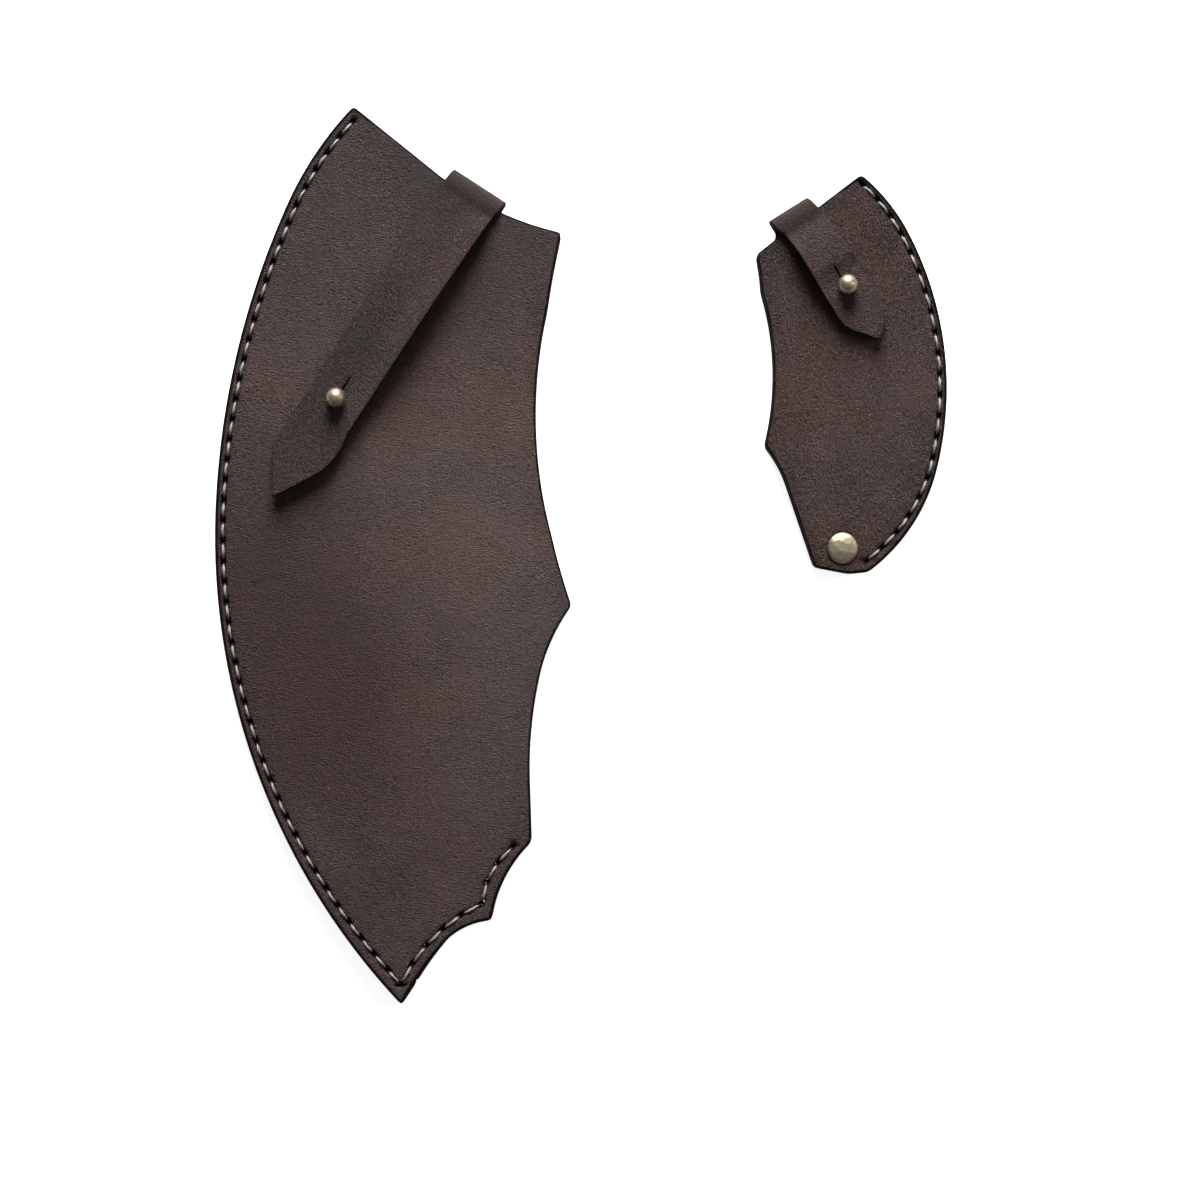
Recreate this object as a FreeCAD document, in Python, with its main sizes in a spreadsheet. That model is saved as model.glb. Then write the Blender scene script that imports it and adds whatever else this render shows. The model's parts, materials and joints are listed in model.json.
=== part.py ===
"""A pair of leather blade covers for a hand-forged double-bladed head.

The large cover is a crescent sleeve for the long blade and the small cover is one for the
short blade. Each is two panels with two welts between them along the blade's cutting edge,
sewn through all four layers. A strap is cut in one piece with the back panel. It folds over
the top edge and buttons on a ball stud in the front panel. The small cover's lower corner is
closed by a rivet.

Units are millimetres. The pair lies face up: +Z is up, +Y runs up along the covers, and the
origin is the middle of the pair's bounding box at the level of the surface they lie on.
"""
import FreeCAD, Part
import math
import os
import Sketcher
from FreeCAD import Placement, Rotation, Vector

UP = Vector(0, 0, 1)

# Driving sizes, all in millimetres or degrees, or a count of stitches.
SIZES = {
    "panel_thickness": 2.2,
    "welt_thickness": 2.2,
    "strap_thickness": 2.2,
    "strap_gap": 0.3,
    # The strap's root, beyond the panel's edge, before it turns up.
    "root_reach": 1.0,
    "fold_outer_radius": 3.4,
    "fold_inner_radius": 1.2,
    "root_overlap": 3.0,
    # Seam.
    "hole_radius": 0.65,
    "groove_width": 1.4,
    "groove_depth": 0.6,
    "thread_width": 1.1,
    "thread_depth": 0.5,
    "thread_radius": 0.5,
    "large_edge_stitches": 46,
    "large_heel_stitches": 5,
    "large_end_stitches": 3,
    "small_edge_stitches": 20,
    # Ball stud and the screw that holds it from the panel's inner face.
    "ball_radius": 3.0,
    "ball_height": 5.2,
    "neck_radius": 1.6,
    "flange_radius": 3.4,
    "flange_thickness": 0.6,
    "thread_bore_radius": 1.25,
    "thread_bore_height": 4.2,
    "screw_head_radius": 4.0,
    "screw_head_thickness": 0.9,
    "screw_shank_radius": 1.2,
    "screw_shank_length": 4.4,
    "screw_slot_width": 0.9,
    "screw_slot_depth": 0.4,
    "stud_hole_radius": 1.7,
    # The strap's buttonhole.
    "buttonhole_radius": 2.4,
    "slit_width": 0.5,
    # Rivet.
    "rivet_x": 78.3,
    "rivet_y": 2.3,
    "rivet_cap_radius": 4.65,
    "rivet_cap_rim": 0.6,
    "rivet_cap_dome": 0.9,
    "rivet_post_radius": 1.9,
    "rivet_pin_radius": 1.3,
    "rivet_base_radius": 4.4,
    "rivet_base_thickness": 0.8,
    "rivet_pin_length": 5.6,
    "rivet_clearance": 0.1,
    # Where each strap leaves its panel, which way it runs, and its width at the fold.
    "large_root_x": -33.0,
    "large_root_y": 107.7,
    "large_strap_angle": -123.0,
    "large_root_left": -10.6,
    "large_root_right": 10.6,
    "large_fold_left": -9.6,
    "large_fold_right": 9.2,
    "large_stud_along": 72.8,
    "large_stud_across": -0.8,
    "large_slit_start": 65.2,
    "small_root_x": 64.1,
    "small_root_y": 100.3,
    "small_strap_angle": -58.0,
    "small_root_left": -8.6,
    "small_root_right": 8.6,
    "small_fold_left": -5.6,
    "small_fold_right": 8.0,
    "small_stud_along": 24.6,
    "small_stud_across": 2.8,
    "small_slit_start": 17.5,
}

# Corners of the plan outlines. Those of the straps are along and across their own strap.
CORNERS = {
    "large_top_tip": (-68.5, 135.0),
    "large_edge_upper": (-87.5, 107.5),
    "large_edge_middle": (-110.0, 12.5),
    "large_bottom_tip": (-54.0, -135.0),
    "large_heel_bend": (-39.5, -114.5),
    "large_heel_point": (-27.0, -109.5),
    "large_heel_end": (-15.0, -86.0),
    "large_mouth_low": (-15.5, -70.5),
    "large_mouth_bend": (-12.0, -33.5),
    "large_barb": (-3.0, -15.0),
    "large_mouth_middle": (-9.0, 6.0),
    "large_mouth_high": (-10.5, 73.0),
    "large_mouth_top": (-6.0, 97.0),
    "large_top_bend": (-45.5, 116.5),
    "large_butt_outer": (-49.4, -128.0),
    "large_butt_inner": (-55.5, -122.0),
    "large_welt_middle": (-102.0, 12.0),
    "large_welt_upper": (-80.0, 104.0),
    "large_welt_top": (-62.0, 129.8),
    "large_heel_welt_end": (-15.2, -81.5),
    "large_heel_welt_turn": (-21.5, -81.5),
    "large_heel_welt_point": (-33.0, -102.5),
    "large_heel_welt_bend": (-45.0, -108.5),
    "large_seam_start": (-68.5, 130.5),
    "large_seam_upper": (-85.0, 106.3),
    "large_seam_middle": (-107.6, 12.5),
    "large_seam_tip": (-54.2, -128.8),
    "large_seam_point": (-30.0, -104.5),
    "large_seam_end": (-20.6, -87.4),
    "small_top_tip": (84.0, 114.5),
    "small_top_left": (52.5, 90.5),
    "small_mouth_high": (54.0, 79.5),
    "small_barb": (55.0, 33.0),
    "small_mouth_low": (61.5, 21.5),
    "small_corner_left": (70.0, -3.5),
    "small_corner_low": (80.5, -5.5),
    "small_corner_right": (86.0, -5.0),
    "small_edge_low": (107.0, 27.0),
    "small_edge_upper": (98.0, 97.5),
    "small_welt_end": (81.9, 0.6),
    "small_welt_low": (100.2, 28.6),
    "small_welt_upper": (91.8, 94.2),
    "small_welt_top": (78.5, 110.3),
    "small_spacer_right": (82.5, 7.0),
    "small_spacer_top": (76.0, 9.5),
    "small_spacer_left": (67.2, 4.5),
    "small_seam_start": (84.2, 111.5),
    "small_seam_upper": (95.9, 96.6),
    "small_seam_low": (105.0, 27.3),
    "small_seam_end": (85.4, -1.6),
    "large_strap_left": (95.0, -9.4),
    "large_strap_tip": (108.3, -0.6),
    "large_strap_turn": (95.0, 6.8),
    "large_strap_right": (80.5, 8.0),
    "small_strap_left": (7.0, -4.7),
    "small_strap_turn_left": (31.5, -4.8),
    "small_strap_point_left": (38.0, -2.3),
    "small_strap_tip": (43.8, 2.2),
    "small_strap_point_right": (41.0, 5.6),
    "small_strap_turn_right": (33.5, 9.2),
    "small_strap_right": (15.0, 9.3),
}

# Radii of the curved edges: plus where the edge bulges out of its outline, minus where it
# is hollow. An edge with no radius is straight.
CURVES = {
    "large_edge_top": 104.0,
    "large_edge_upper": 247.0,
    "large_edge_lower": 205.0,
    "large_heel_low": -90.0,
    "large_heel_high": -22.0,
    "large_heel_side": -41.0,
    "large_mouth_below": -128.0,
    "large_barb_below": -58.0,
    "large_barb_above": -200.0,
    "large_mouth": -141.0,
    "large_mouth_upper": -300.0,
    "large_top": -93.0,
    "large_welt_lower": -197.0,
    "large_welt_upper": -239.0,
    "large_welt_top": -96.0,
    "large_heel_welt_side": 49.0,
    "large_heel_welt_high": 30.0,
    "large_heel_welt_low": 98.0,
    "large_seam_top": 102.0,
    "large_seam_upper": 245.0,
    "large_seam_lower": 197.0,
    "large_seam_heel": -50.0,
    "large_seam_side": -26.0,
    "small_mouth_upper": -67.0,
    "small_mouth": -87.0,
    "small_barb_below": -36.0,
    "small_edge_bottom": 55.0,
    "small_edge_middle": 100.5,
    "small_edge_top": 56.5,
    "small_welt_bottom": -48.0,
    "small_welt_middle": -93.5,
    "small_welt_top": -49.5,
    "small_seam_bottom": 52.0,
    "small_seam_middle": 98.5,
    "small_seam_top": 53.5,
    "large_strap_turn": 20.0,
    "small_strap_turn": 9.0,
    "small_strap_side": 12.0,
}

# Outlines, anticlockwise: each corner with the curve of the edge that leaves it.
OUTLINES = {
    "large_outline": [
        ("large_top_tip", "large_edge_top"),
        ("large_edge_upper", "large_edge_upper"),
        ("large_edge_middle", "large_edge_lower"),
        ("large_bottom_tip", "large_heel_low"),
        ("large_heel_bend", "large_heel_high"),
        ("large_heel_point", "large_heel_side"),
        ("large_heel_end", None),
        ("large_mouth_low", "large_mouth_below"),
        ("large_mouth_bend", "large_barb_below"),
        ("large_barb", "large_barb_above"),
        ("large_mouth_middle", "large_mouth"),
        ("large_mouth_high", "large_mouth_upper"),
        ("large_mouth_top", "large_top"),
        ("large_top_bend", None),
    ],
    "large_edge_welt": [
        ("large_top_tip", "large_edge_top"),
        ("large_edge_upper", "large_edge_upper"),
        ("large_edge_middle", "large_edge_lower"),
        ("large_bottom_tip", None),
        ("large_butt_outer", None),
        ("large_butt_inner", "large_welt_lower"),
        ("large_welt_middle", "large_welt_upper"),
        ("large_welt_upper", "large_welt_top"),
        ("large_welt_top", None),
    ],
    "large_heel_welt": [
        ("large_butt_outer", "large_heel_low"),
        ("large_heel_bend", "large_heel_high"),
        ("large_heel_point", "large_heel_side"),
        ("large_heel_end", None),
        ("large_heel_welt_end", None),
        ("large_heel_welt_turn", "large_heel_welt_side"),
        ("large_heel_welt_point", "large_heel_welt_high"),
        ("large_heel_welt_bend", "large_heel_welt_low"),
        ("large_butt_inner", None),
    ],
    "small_outline": [
        ("small_top_tip", None),
        ("small_top_left", "small_mouth_upper"),
        ("small_mouth_high", "small_mouth"),
        ("small_barb", "small_barb_below"),
        ("small_mouth_low", None),
        ("small_corner_left", None),
        ("small_corner_low", None),
        ("small_corner_right", "small_edge_bottom"),
        ("small_edge_low", "small_edge_middle"),
        ("small_edge_upper", "small_edge_top"),
    ],
    "small_edge_welt": [
        ("small_corner_right", "small_edge_bottom"),
        ("small_edge_low", "small_edge_middle"),
        ("small_edge_upper", "small_edge_top"),
        ("small_top_tip", None),
        ("small_welt_top", "small_welt_top"),
        ("small_welt_upper", "small_welt_middle"),
        ("small_welt_low", "small_welt_bottom"),
        ("small_welt_end", None),
    ],
    "small_corner_spacer": [
        ("small_corner_left", None),
        ("small_corner_low", None),
        ("small_corner_right", None),
        ("small_welt_end", None),
        ("small_spacer_right", None),
        ("small_spacer_top", None),
        ("small_spacer_left", None),
    ],
}

# Lines of stitches: each run is a chain of corners and curves, and the cell with its count.
SEAMS = {
    "large": [
        (
            [
                ("large_seam_start", "large_seam_top"),
                ("large_seam_upper", "large_seam_upper"),
                ("large_seam_middle", "large_seam_lower"),
                ("large_seam_tip", None),
            ],
            "large_edge_stitches",
        ),
        (
            [("large_seam_tip", "large_seam_heel"), ("large_seam_point", None)],
            "large_heel_stitches",
        ),
        (
            [("large_seam_point", "large_seam_side"), ("large_seam_end", None)],
            "large_end_stitches",
        ),
    ],
    "small": [
        (
            [
                ("small_seam_end", "small_seam_bottom"),
                ("small_seam_low", "small_seam_middle"),
                ("small_seam_upper", "small_seam_top"),
                ("small_seam_start", None),
            ],
            "small_edge_stitches",
        ),
    ],
}

# Heights of the layers, as expressions on the sheet.
POCKET_FLOOR = "Sheet.panel_thickness"
WELT_JOIN = "Sheet.panel_thickness + Sheet.welt_thickness"
POCKET_ROOF = "Sheet.panel_thickness + 2 * Sheet.welt_thickness"
FRONT_FACE = "2 * Sheet.panel_thickness + 2 * Sheet.welt_thickness"
STRAP_FACE = FRONT_FACE + " + Sheet.strap_gap"
STRAP_TOP = STRAP_FACE + " + Sheet.strap_thickness"

# The rivet's axis in plan.
RIVET_PLACE = ("Sheet.rivet_x", "Sheet.rivet_y")

doc = FreeCAD.newDocument("BladeCovers")
sheet = doc.addObject("Spreadsheet::Sheet", "Sheet")


def fill_sheet():
    """Writes every driving number into the sheet, one row each, with its alias."""
    rows = dict(SIZES)
    for name, (x, y) in CORNERS.items():
        rows[name + "_x"] = x
        rows[name + "_y"] = y
    for name, radius in CURVES.items():
        rows[name + "_curve"] = radius
    for row, (alias, value) in enumerate(rows.items(), start=1):
        sheet.set(f"A{row}", alias)
        sheet.set(f"B{row}", str(value))
        sheet.setAlias(f"B{row}", alias)
    doc.recompute()


def number(expression):
    """The value of an expression on the sheet, as a plain number."""
    value = sheet.evalExpression(expression)
    return float(getattr(value, "Value", value))


def corner_point(name):
    return Vector(number(f"{name}_x"), number(f"{name}_y"), 0)


def curve_radius(name):
    return number(f"{name}_curve") if name else 0.0


def arc_centre(start, end, radius):
    """Centre of the arc from start to end, which bulges right of travel where radius > 0."""
    chord = end - start
    half = chord.Length / 2
    right = Vector(chord.y, -chord.x, 0).normalize()
    depth = math.sqrt(radius**2 - half**2)
    return (start + end) / 2 - right * math.copysign(depth, radius)


def point_on_edge(start, end, radius, part):
    """The point a given part of the way along a straight or curved edge."""
    if radius == 0:
        return start + (end - start) * part
    centre = arc_centre(start, end, radius)
    turn = 2 * math.asin((end - start).Length / 2 / abs(radius))
    angle = math.copysign(turn, radius) * part
    return centre + Rotation(UP, math.degrees(angle)).multVec(start - centre)


def edge_length(start, end, radius):
    chord = (end - start).Length
    return chord if radius == 0 else 2 * abs(radius) * math.asin(chord / 2 / abs(radius))


def origin_plane(body, role):
    return next(f for f in body.Origin.OriginFeatures if f.Role == role)


def new_body(label, height="0"):
    """An empty body whose own floor is at the given height."""
    body = doc.addObject("PartDesign::Body", label)
    body.Label = label
    body.setExpression("Placement.Base.z", height)
    return body


def turn_with_strap(body, side):
    """Puts a body's X axis along one cover's strap, with its origin at the strap's root."""
    # A first turn about +Z sets the axis that the angle from the sheet then turns about.
    body.Placement = Placement(Vector(0, 0, 0), Rotation(UP, 1))
    body.setExpression("Placement.Base.x", f"Sheet.{side}_root_x")
    body.setExpression("Placement.Base.y", f"Sheet.{side}_root_y")
    body.setExpression("Placement.Rotation.Angle", f"Sheet.{side}_strap_angle")


def new_sketch(body, name, height="0", plane="XY_Plane"):
    """A sketch on one of the body's own planes, at a height above it."""
    sketch = body.newObject("Sketcher::SketchObject", name)
    sketch.AttachmentSupport = [(origin_plane(body, plane), "")]
    sketch.MapMode = "FlatFace"
    if height != "0":
        sketch.setExpression("AttachmentOffset.Base.z", height)
    return sketch


def bind(sketch, constraint, expression):
    """Adds a constraint and ties its value to the sheet."""
    index = sketch.addConstraint(constraint)
    sketch.setExpression(f"Constraints[{index}]", expression)


def draw_outline(sketch, corners):
    """Draws a closed chain: each corner is x, y and the radius of the edge that leaves it.

    All three are expressions on the sheet, and the radius is None on a straight edge.
    """
    points = [Vector(number(x), number(y), 0) for x, y, _ in corners]
    ends = []
    for place, (_, _, curve) in enumerate(corners):
        start = points[place]
        end = points[(place + 1) % len(points)]
        if curve is None:
            index = sketch.addGeometry(Part.LineSegment(start, end), False)
            ends.append((index, 1, 2))
            continue
        radius = number(curve)
        centre = arc_centre(start, end, radius)
        first, last = (start, end) if radius > 0 else (end, start)
        angles = [math.atan2(p.y - centre.y, p.x - centre.x) for p in (first, last)]
        circle = Part.Circle(centre, UP, abs(radius))
        index = sketch.addGeometry(Part.ArcOfCircle(circle, *angles), False)
        ends.append((index, 1, 2) if radius > 0 else (index, 2, 1))
    for place, (index, begin, finish) in enumerate(ends):
        following, following_begin, _ = ends[(place + 1) % len(ends)]
        sketch.addConstraint(
            Sketcher.Constraint("Coincident", index, finish, following, following_begin)
        )
    for (index, begin, _), point, (x, y, curve) in zip(ends, points, corners):
        bind(sketch, Sketcher.Constraint("DistanceX", -1, 1, index, begin, point.x), x)
        bind(sketch, Sketcher.Constraint("DistanceY", -1, 1, index, begin, point.y), y)
        if curve is not None:
            radius = abs(number(curve))
            bind(sketch, Sketcher.Constraint("Radius", index, radius), f"abs({curve})")


def named_corners(path):
    """The corners of a named outline as expressions for draw_outline."""
    return [
        (
            f"Sheet.{corner}_x",
            f"Sheet.{corner}_y",
            f"Sheet.{curve}_curve" if curve else None,
        )
        for corner, curve in path
    ]


def draw_circle(sketch, x, y, radius):
    centre = Vector(number(x), number(y), 0)
    index = sketch.addGeometry(Part.Circle(centre, UP, number(radius)), False)
    bind(sketch, Sketcher.Constraint("DistanceX", -1, 1, index, 3, centre.x), x)
    bind(sketch, Sketcher.Constraint("DistanceY", -1, 1, index, 3, centre.y), y)
    bind(sketch, Sketcher.Constraint("Radius", index, number(radius)), radius)


def pad(body, sketch, length):
    feature = body.newObject("PartDesign::Pad", sketch.Name + "Pad")
    feature.Profile = sketch
    feature.setExpression("Length", length)
    sketch.Visibility = False
    doc.recompute()
    return feature


def pocket(body, sketch, length=None, upwards=False):
    """Cuts down from the sketch, or up; right through where no length is given."""
    before = body.Shape.Volume
    feature = body.newObject("PartDesign::Pocket", sketch.Name + "Pocket")
    feature.Profile = sketch
    feature.Reversed = upwards
    if length is None:
        feature.Type = "ThroughAll"
    else:
        feature.setExpression("Length", length)
    doc.recompute()
    if body.Shape.Volume >= before:
        raise RuntimeError(f"{feature.Label} cuts nothing")
    return feature


def seam_points(side):
    """The stitch holes of one cover, evenly spaced along each run of its seam."""
    points = []
    for path, count_cell in SEAMS[side]:
        corners = [corner_point(corner) for corner, _ in path]
        radii = [curve_radius(curve) for _, curve in path[:-1]]
        edges = list(zip(corners, corners[1:], radii))
        lengths = [edge_length(*edge) for edge in edges]
        count = int(number(count_cell))
        for stitch in range(count + 1):
            place = sum(lengths) * stitch / count
            index = 0
            while index < len(edges) - 1 and place > lengths[index]:
                place -= lengths[index]
                index += 1
            point = point_on_edge(*edges[index], min(place / lengths[index], 1.0))
            if not points or (point - points[-1]).Length > 1e-6:
                points.append(point)
    return points


def draw_ribbon(sketch, points, width):
    """Draws a closed band of even width that follows a line of points."""
    left = []
    right = []
    for place, point in enumerate(points):
        before = points[max(place - 1, 0)]
        after = points[min(place + 1, len(points) - 1)]
        came = (point - before).normalize() if place else (after - point).normalize()
        goes = (after - point).normalize() if place < len(points) - 1 else came
        mitre = Vector(-(came.y + goes.y), came.x + goes.x, 0).normalize()
        reach = width / 2 / (mitre * Vector(-came.y, came.x, 0))
        overrun = width / 2
        start = point
        if place == 0:
            start = point - goes * overrun
        if place == len(points) - 1:
            start = point + came * overrun
        left.append(start + mitre * reach)
        right.append(start - mitre * reach)
    ring = left + right[::-1]
    for start, end in zip(ring, ring[1:] + ring[:1]):
        sketch.addGeometry(Part.LineSegment(start, end), False)


def draw_stitch_circles(sketch, points, radius):
    """Draws one circle at each stitch, the first tied to the sheet and the rest to it."""
    for point in points:
        sketch.addGeometry(Part.Circle(point, UP, number(radius)), False)
    bind(sketch, Sketcher.Constraint("Radius", 0, number(radius)), radius)
    for index in range(1, len(points)):
        sketch.addConstraint(Sketcher.Constraint("Equal", 0, index))


def punch_stitches(body, side, top):
    """Punches the seam's holes through a layer whose upper face is at height top."""
    sketch = new_sketch(body, body.Name + "Holes", top)
    draw_stitch_circles(sketch, seam_points(side), "Sheet.hole_radius")
    pocket(body, sketch)


def cut_seam_groove(body, side, height, upwards):
    """Cuts the shallow groove that the stitches lie in."""
    sketch = new_sketch(body, body.Name + "Groove", height)
    draw_ribbon(sketch, seam_points(side), number("groove_width"))
    pocket(body, sketch, "Sheet.groove_depth", upwards)


def plan_body(label, outline, height, thickness):
    """A flat piece of leather with a named outline."""
    body = new_body(label, height)
    sketch = new_sketch(body, label + "Outline")
    draw_outline(sketch, named_corners(OUTLINES[outline]))
    pad(body, sketch, thickness)
    return body


def stud_place(side):
    """Where a cover's stud stands, as expressions on the sheet."""
    along = f"Sheet.{side}_stud_along"
    across = f"Sheet.{side}_stud_across"
    angle = f"Sheet.{side}_strap_angle * 1 deg"
    x = f"Sheet.{side}_root_x + {along} * cos({angle}) - {across} * sin({angle})"
    y = f"Sheet.{side}_root_y + {along} * sin({angle}) + {across} * cos({angle})"
    return x, y


def round_cut(body, name, place, radius, depth=None, height="0", upwards=False):
    """Cuts a round hole or counterbore into a body."""
    sketch = new_sketch(body, body.Name + name, height)
    draw_circle(sketch, place[0], place[1], radius)
    pocket(body, sketch, depth, upwards)


def make_front_panel(side):
    label = f"{side}_front_panel"
    body = plan_body(label, f"{side}_outline", POCKET_ROOF, "Sheet.panel_thickness")
    top = "Sheet.panel_thickness"
    punch_stitches(body, side, top)
    cut_seam_groove(body, side, top, upwards=False)
    stud = stud_place(side)
    round_cut(body, "StudHole", stud, "Sheet.stud_hole_radius", height=top)
    flange = "Sheet.flange_radius + 0.05"
    round_cut(body, "StudSeat", stud, flange, "Sheet.flange_thickness", top)
    head = "Sheet.screw_head_radius + 0.05"
    round_cut(body, "ScrewSeat", stud, head, "Sheet.screw_head_thickness", upwards=True)
    return body


def make_back_panel(side):
    """The back panel with the short root from which the strap turns up."""
    label = f"{side}_back_panel"
    body = plan_body(label, f"{side}_outline", "0", "Sheet.panel_thickness")
    root = new_sketch(body, label + "Root")
    # Turned like the strap: a first turn about +Z, then the angle from the sheet.
    root.AttachmentOffset = Placement(Vector(0, 0, 0), Rotation(UP, 1))
    root.setExpression("AttachmentOffset.Base.x", f"Sheet.{side}_root_x")
    root.setExpression("AttachmentOffset.Base.y", f"Sheet.{side}_root_y")
    root.setExpression("AttachmentOffset.Rotation.Angle", f"Sheet.{side}_strap_angle")
    inside = "Sheet.root_overlap"
    outside = "-Sheet.root_reach"
    corners = [
        (outside, f"Sheet.{side}_fold_right", None),
        (outside, f"Sheet.{side}_fold_left", None),
        (inside, f"Sheet.{side}_root_left", None),
        (inside, f"Sheet.{side}_root_right", None),
    ]
    draw_outline(root, corners)
    pad(body, root, "Sheet.panel_thickness")
    punch_stitches(body, side, "Sheet.panel_thickness")
    cut_seam_groove(body, side, "0", upwards=True)
    return body


def make_welt(label, outline, side, height):
    body = plan_body(label, outline, height, "Sheet.welt_thickness")
    punch_stitches(body, side, "Sheet.welt_thickness")
    return body


def make_seam_thread(side):
    """One thread: a band in each groove, joined by a column through every hole."""
    label = f"{side}_seam_thread"
    body = new_body(label)
    points = seam_points(side)
    groove_floor = f"{FRONT_FACE} - Sheet.groove_depth"
    front = new_sketch(body, label + "Front", groove_floor)
    draw_ribbon(front, points, number("thread_width"))
    pad(body, front, "Sheet.thread_depth")
    columns = new_sketch(body, label + "Columns", "Sheet.groove_depth")
    draw_stitch_circles(columns, points, "Sheet.thread_radius")
    pad(body, columns, f"{FRONT_FACE} - 2 * Sheet.groove_depth")
    back = new_sketch(body, label + "Back", "Sheet.groove_depth - Sheet.thread_depth")
    draw_ribbon(back, points, number("thread_width"))
    pad(body, back, "Sheet.thread_depth")
    return body


def make_strap_fold(side):
    """The strap's turn over the top edge: out, up and back in two rounded corners."""
    label = f"{side}_strap_fold"
    body = new_body(label)
    turn_with_strap(body, side)
    offset = f"-Sheet.{side}_fold_right"
    profile = new_sketch(body, label + "Profile", offset, "XZ_Plane")
    begin = "-Sheet.root_reach"
    outer_wall = "-Sheet.root_reach - Sheet.fold_outer_radius"
    inner_wall = "-Sheet.root_reach - Sheet.fold_inner_radius"
    inner_low = "Sheet.panel_thickness + Sheet.fold_inner_radius"
    inner_high = f"{STRAP_FACE} - Sheet.fold_inner_radius"
    outer_high = f"{STRAP_TOP} - Sheet.fold_outer_radius"
    corners = [
        (begin, "0", None),
        (begin, "Sheet.panel_thickness", "-Sheet.fold_inner_radius"),
        (inner_wall, inner_low, None),
        (inner_wall, inner_high, "-Sheet.fold_inner_radius"),
        (begin, STRAP_FACE, None),
        (begin, STRAP_TOP, "Sheet.fold_outer_radius"),
        (outer_wall, outer_high, None),
        (outer_wall, "Sheet.fold_outer_radius", "Sheet.fold_outer_radius"),
    ]
    draw_outline(profile, corners)
    pad(body, profile, f"Sheet.{side}_fold_right - Sheet.{side}_fold_left")
    return body


def strap_corners(side):
    """The strap's outline beyond the fold, along and across itself."""
    begin = "-Sheet.root_reach"
    left = (begin, f"Sheet.{side}_fold_left", None)
    right = (begin, f"Sheet.{side}_fold_right", None)
    if side == "large":
        path = [
            ("large_strap_left", None),
            ("large_strap_tip", None),
            ("large_strap_turn", "large_strap_turn"),
            ("large_strap_right", None),
        ]
    else:
        path = [
            ("small_strap_left", None),
            ("small_strap_turn_left", "small_strap_turn"),
            ("small_strap_point_left", None),
            ("small_strap_tip", None),
            ("small_strap_point_right", "small_strap_side"),
            ("small_strap_turn_right", None),
            ("small_strap_right", None),
        ]
    return [left] + named_corners(path) + [right]


def make_strap(side):
    label = f"{side}_strap"
    body = new_body(label, STRAP_FACE)
    turn_with_strap(body, side)
    outline = new_sketch(body, label + "Outline")
    draw_outline(outline, strap_corners(side))
    pad(body, outline, "Sheet.strap_thickness")
    top = "Sheet.strap_thickness"
    along = f"Sheet.{side}_stud_along"
    across = f"Sheet.{side}_stud_across"
    hole = (along, across)
    round_cut(body, "Buttonhole", hole, "Sheet.buttonhole_radius", height=top)
    slit = new_sketch(body, label + "Slit", top)
    low = f"{across} - Sheet.slit_width / 2"
    high = f"{across} + Sheet.slit_width / 2"
    slit_start = f"Sheet.{side}_slit_start"
    corners = [
        (slit_start, low, None),
        (along, low, None),
        (along, high, None),
        (slit_start, high, None),
    ]
    draw_outline(slit, corners)
    pocket(body, slit)
    return body


def place_on_axis(feature, place):
    """Stands a finished Part feature on a vertical axis."""
    feature.setExpression("Placement.Base.x", place[0])
    feature.setExpression("Placement.Base.y", place[1])


def cylinder(name, radius, length, height):
    shape = doc.addObject("Part::Cylinder", name)
    shape.setExpression("Radius", radius)
    shape.setExpression("Height", length)
    shape.setExpression("Placement.Base.z", height)
    return shape


def fuse(name, shapes):
    feature = doc.addObject("Part::MultiFuse", name)
    feature.Shapes = shapes
    return feature


def cut(name, base, tool):
    feature = doc.addObject("Part::Cut", name)
    feature.Base = base
    feature.Tool = tool
    return feature


def make_stud(side):
    """A ball on a neck, with a flange let into the leather and a threaded bore."""
    label = f"{side}_stud"
    ball = doc.addObject("Part::Sphere", label + "Ball")
    ball.setExpression("Radius", "Sheet.ball_radius")
    ball.setExpression("Placement.Base.z", f"{FRONT_FACE} + Sheet.ball_height")
    neck_foot = f"{FRONT_FACE} - Sheet.flange_thickness"
    neck_length = "Sheet.ball_height + Sheet.flange_thickness"
    neck = cylinder(label + "Neck", "Sheet.neck_radius", neck_length, neck_foot)
    flange = cylinder(
        label + "Flange", "Sheet.flange_radius", "Sheet.flange_thickness", neck_foot
    )
    body = fuse(label + "Body", [ball, neck, flange])
    bore_length = "Sheet.thread_bore_height + Sheet.flange_thickness"
    bore = cylinder(label + "Bore", "Sheet.thread_bore_radius", bore_length, neck_foot)
    stud = cut(label, body, bore)
    place_on_axis(stud, stud_place(side))
    return stud


def make_stud_screw(side):
    """The slotted screw that holds the stud, its head flush with the inner face."""
    label = f"{side}_stud_screw"
    head = cylinder(
        label + "Head", "Sheet.screw_head_radius", "Sheet.screw_head_thickness", POCKET_ROOF
    )
    shank_foot = f"{POCKET_ROOF} + Sheet.screw_head_thickness"
    shank = cylinder(
        label + "Shank", "Sheet.screw_shank_radius", "Sheet.screw_shank_length", shank_foot
    )
    body = fuse(label + "Body", [head, shank])
    slot = doc.addObject("Part::Box", label + "Slot")
    slot.setExpression("Length", "2 * Sheet.screw_head_radius")
    slot.setExpression("Width", "Sheet.screw_slot_width")
    slot.setExpression("Height", "Sheet.screw_slot_depth")
    slot.setExpression("Placement.Base.x", "-Sheet.screw_head_radius")
    slot.setExpression("Placement.Base.y", "-Sheet.screw_slot_width / 2")
    slot.setExpression("Placement.Base.z", POCKET_ROOF)
    screw = cut(label, body, slot)
    place_on_axis(screw, stud_place(side))
    return screw


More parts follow.
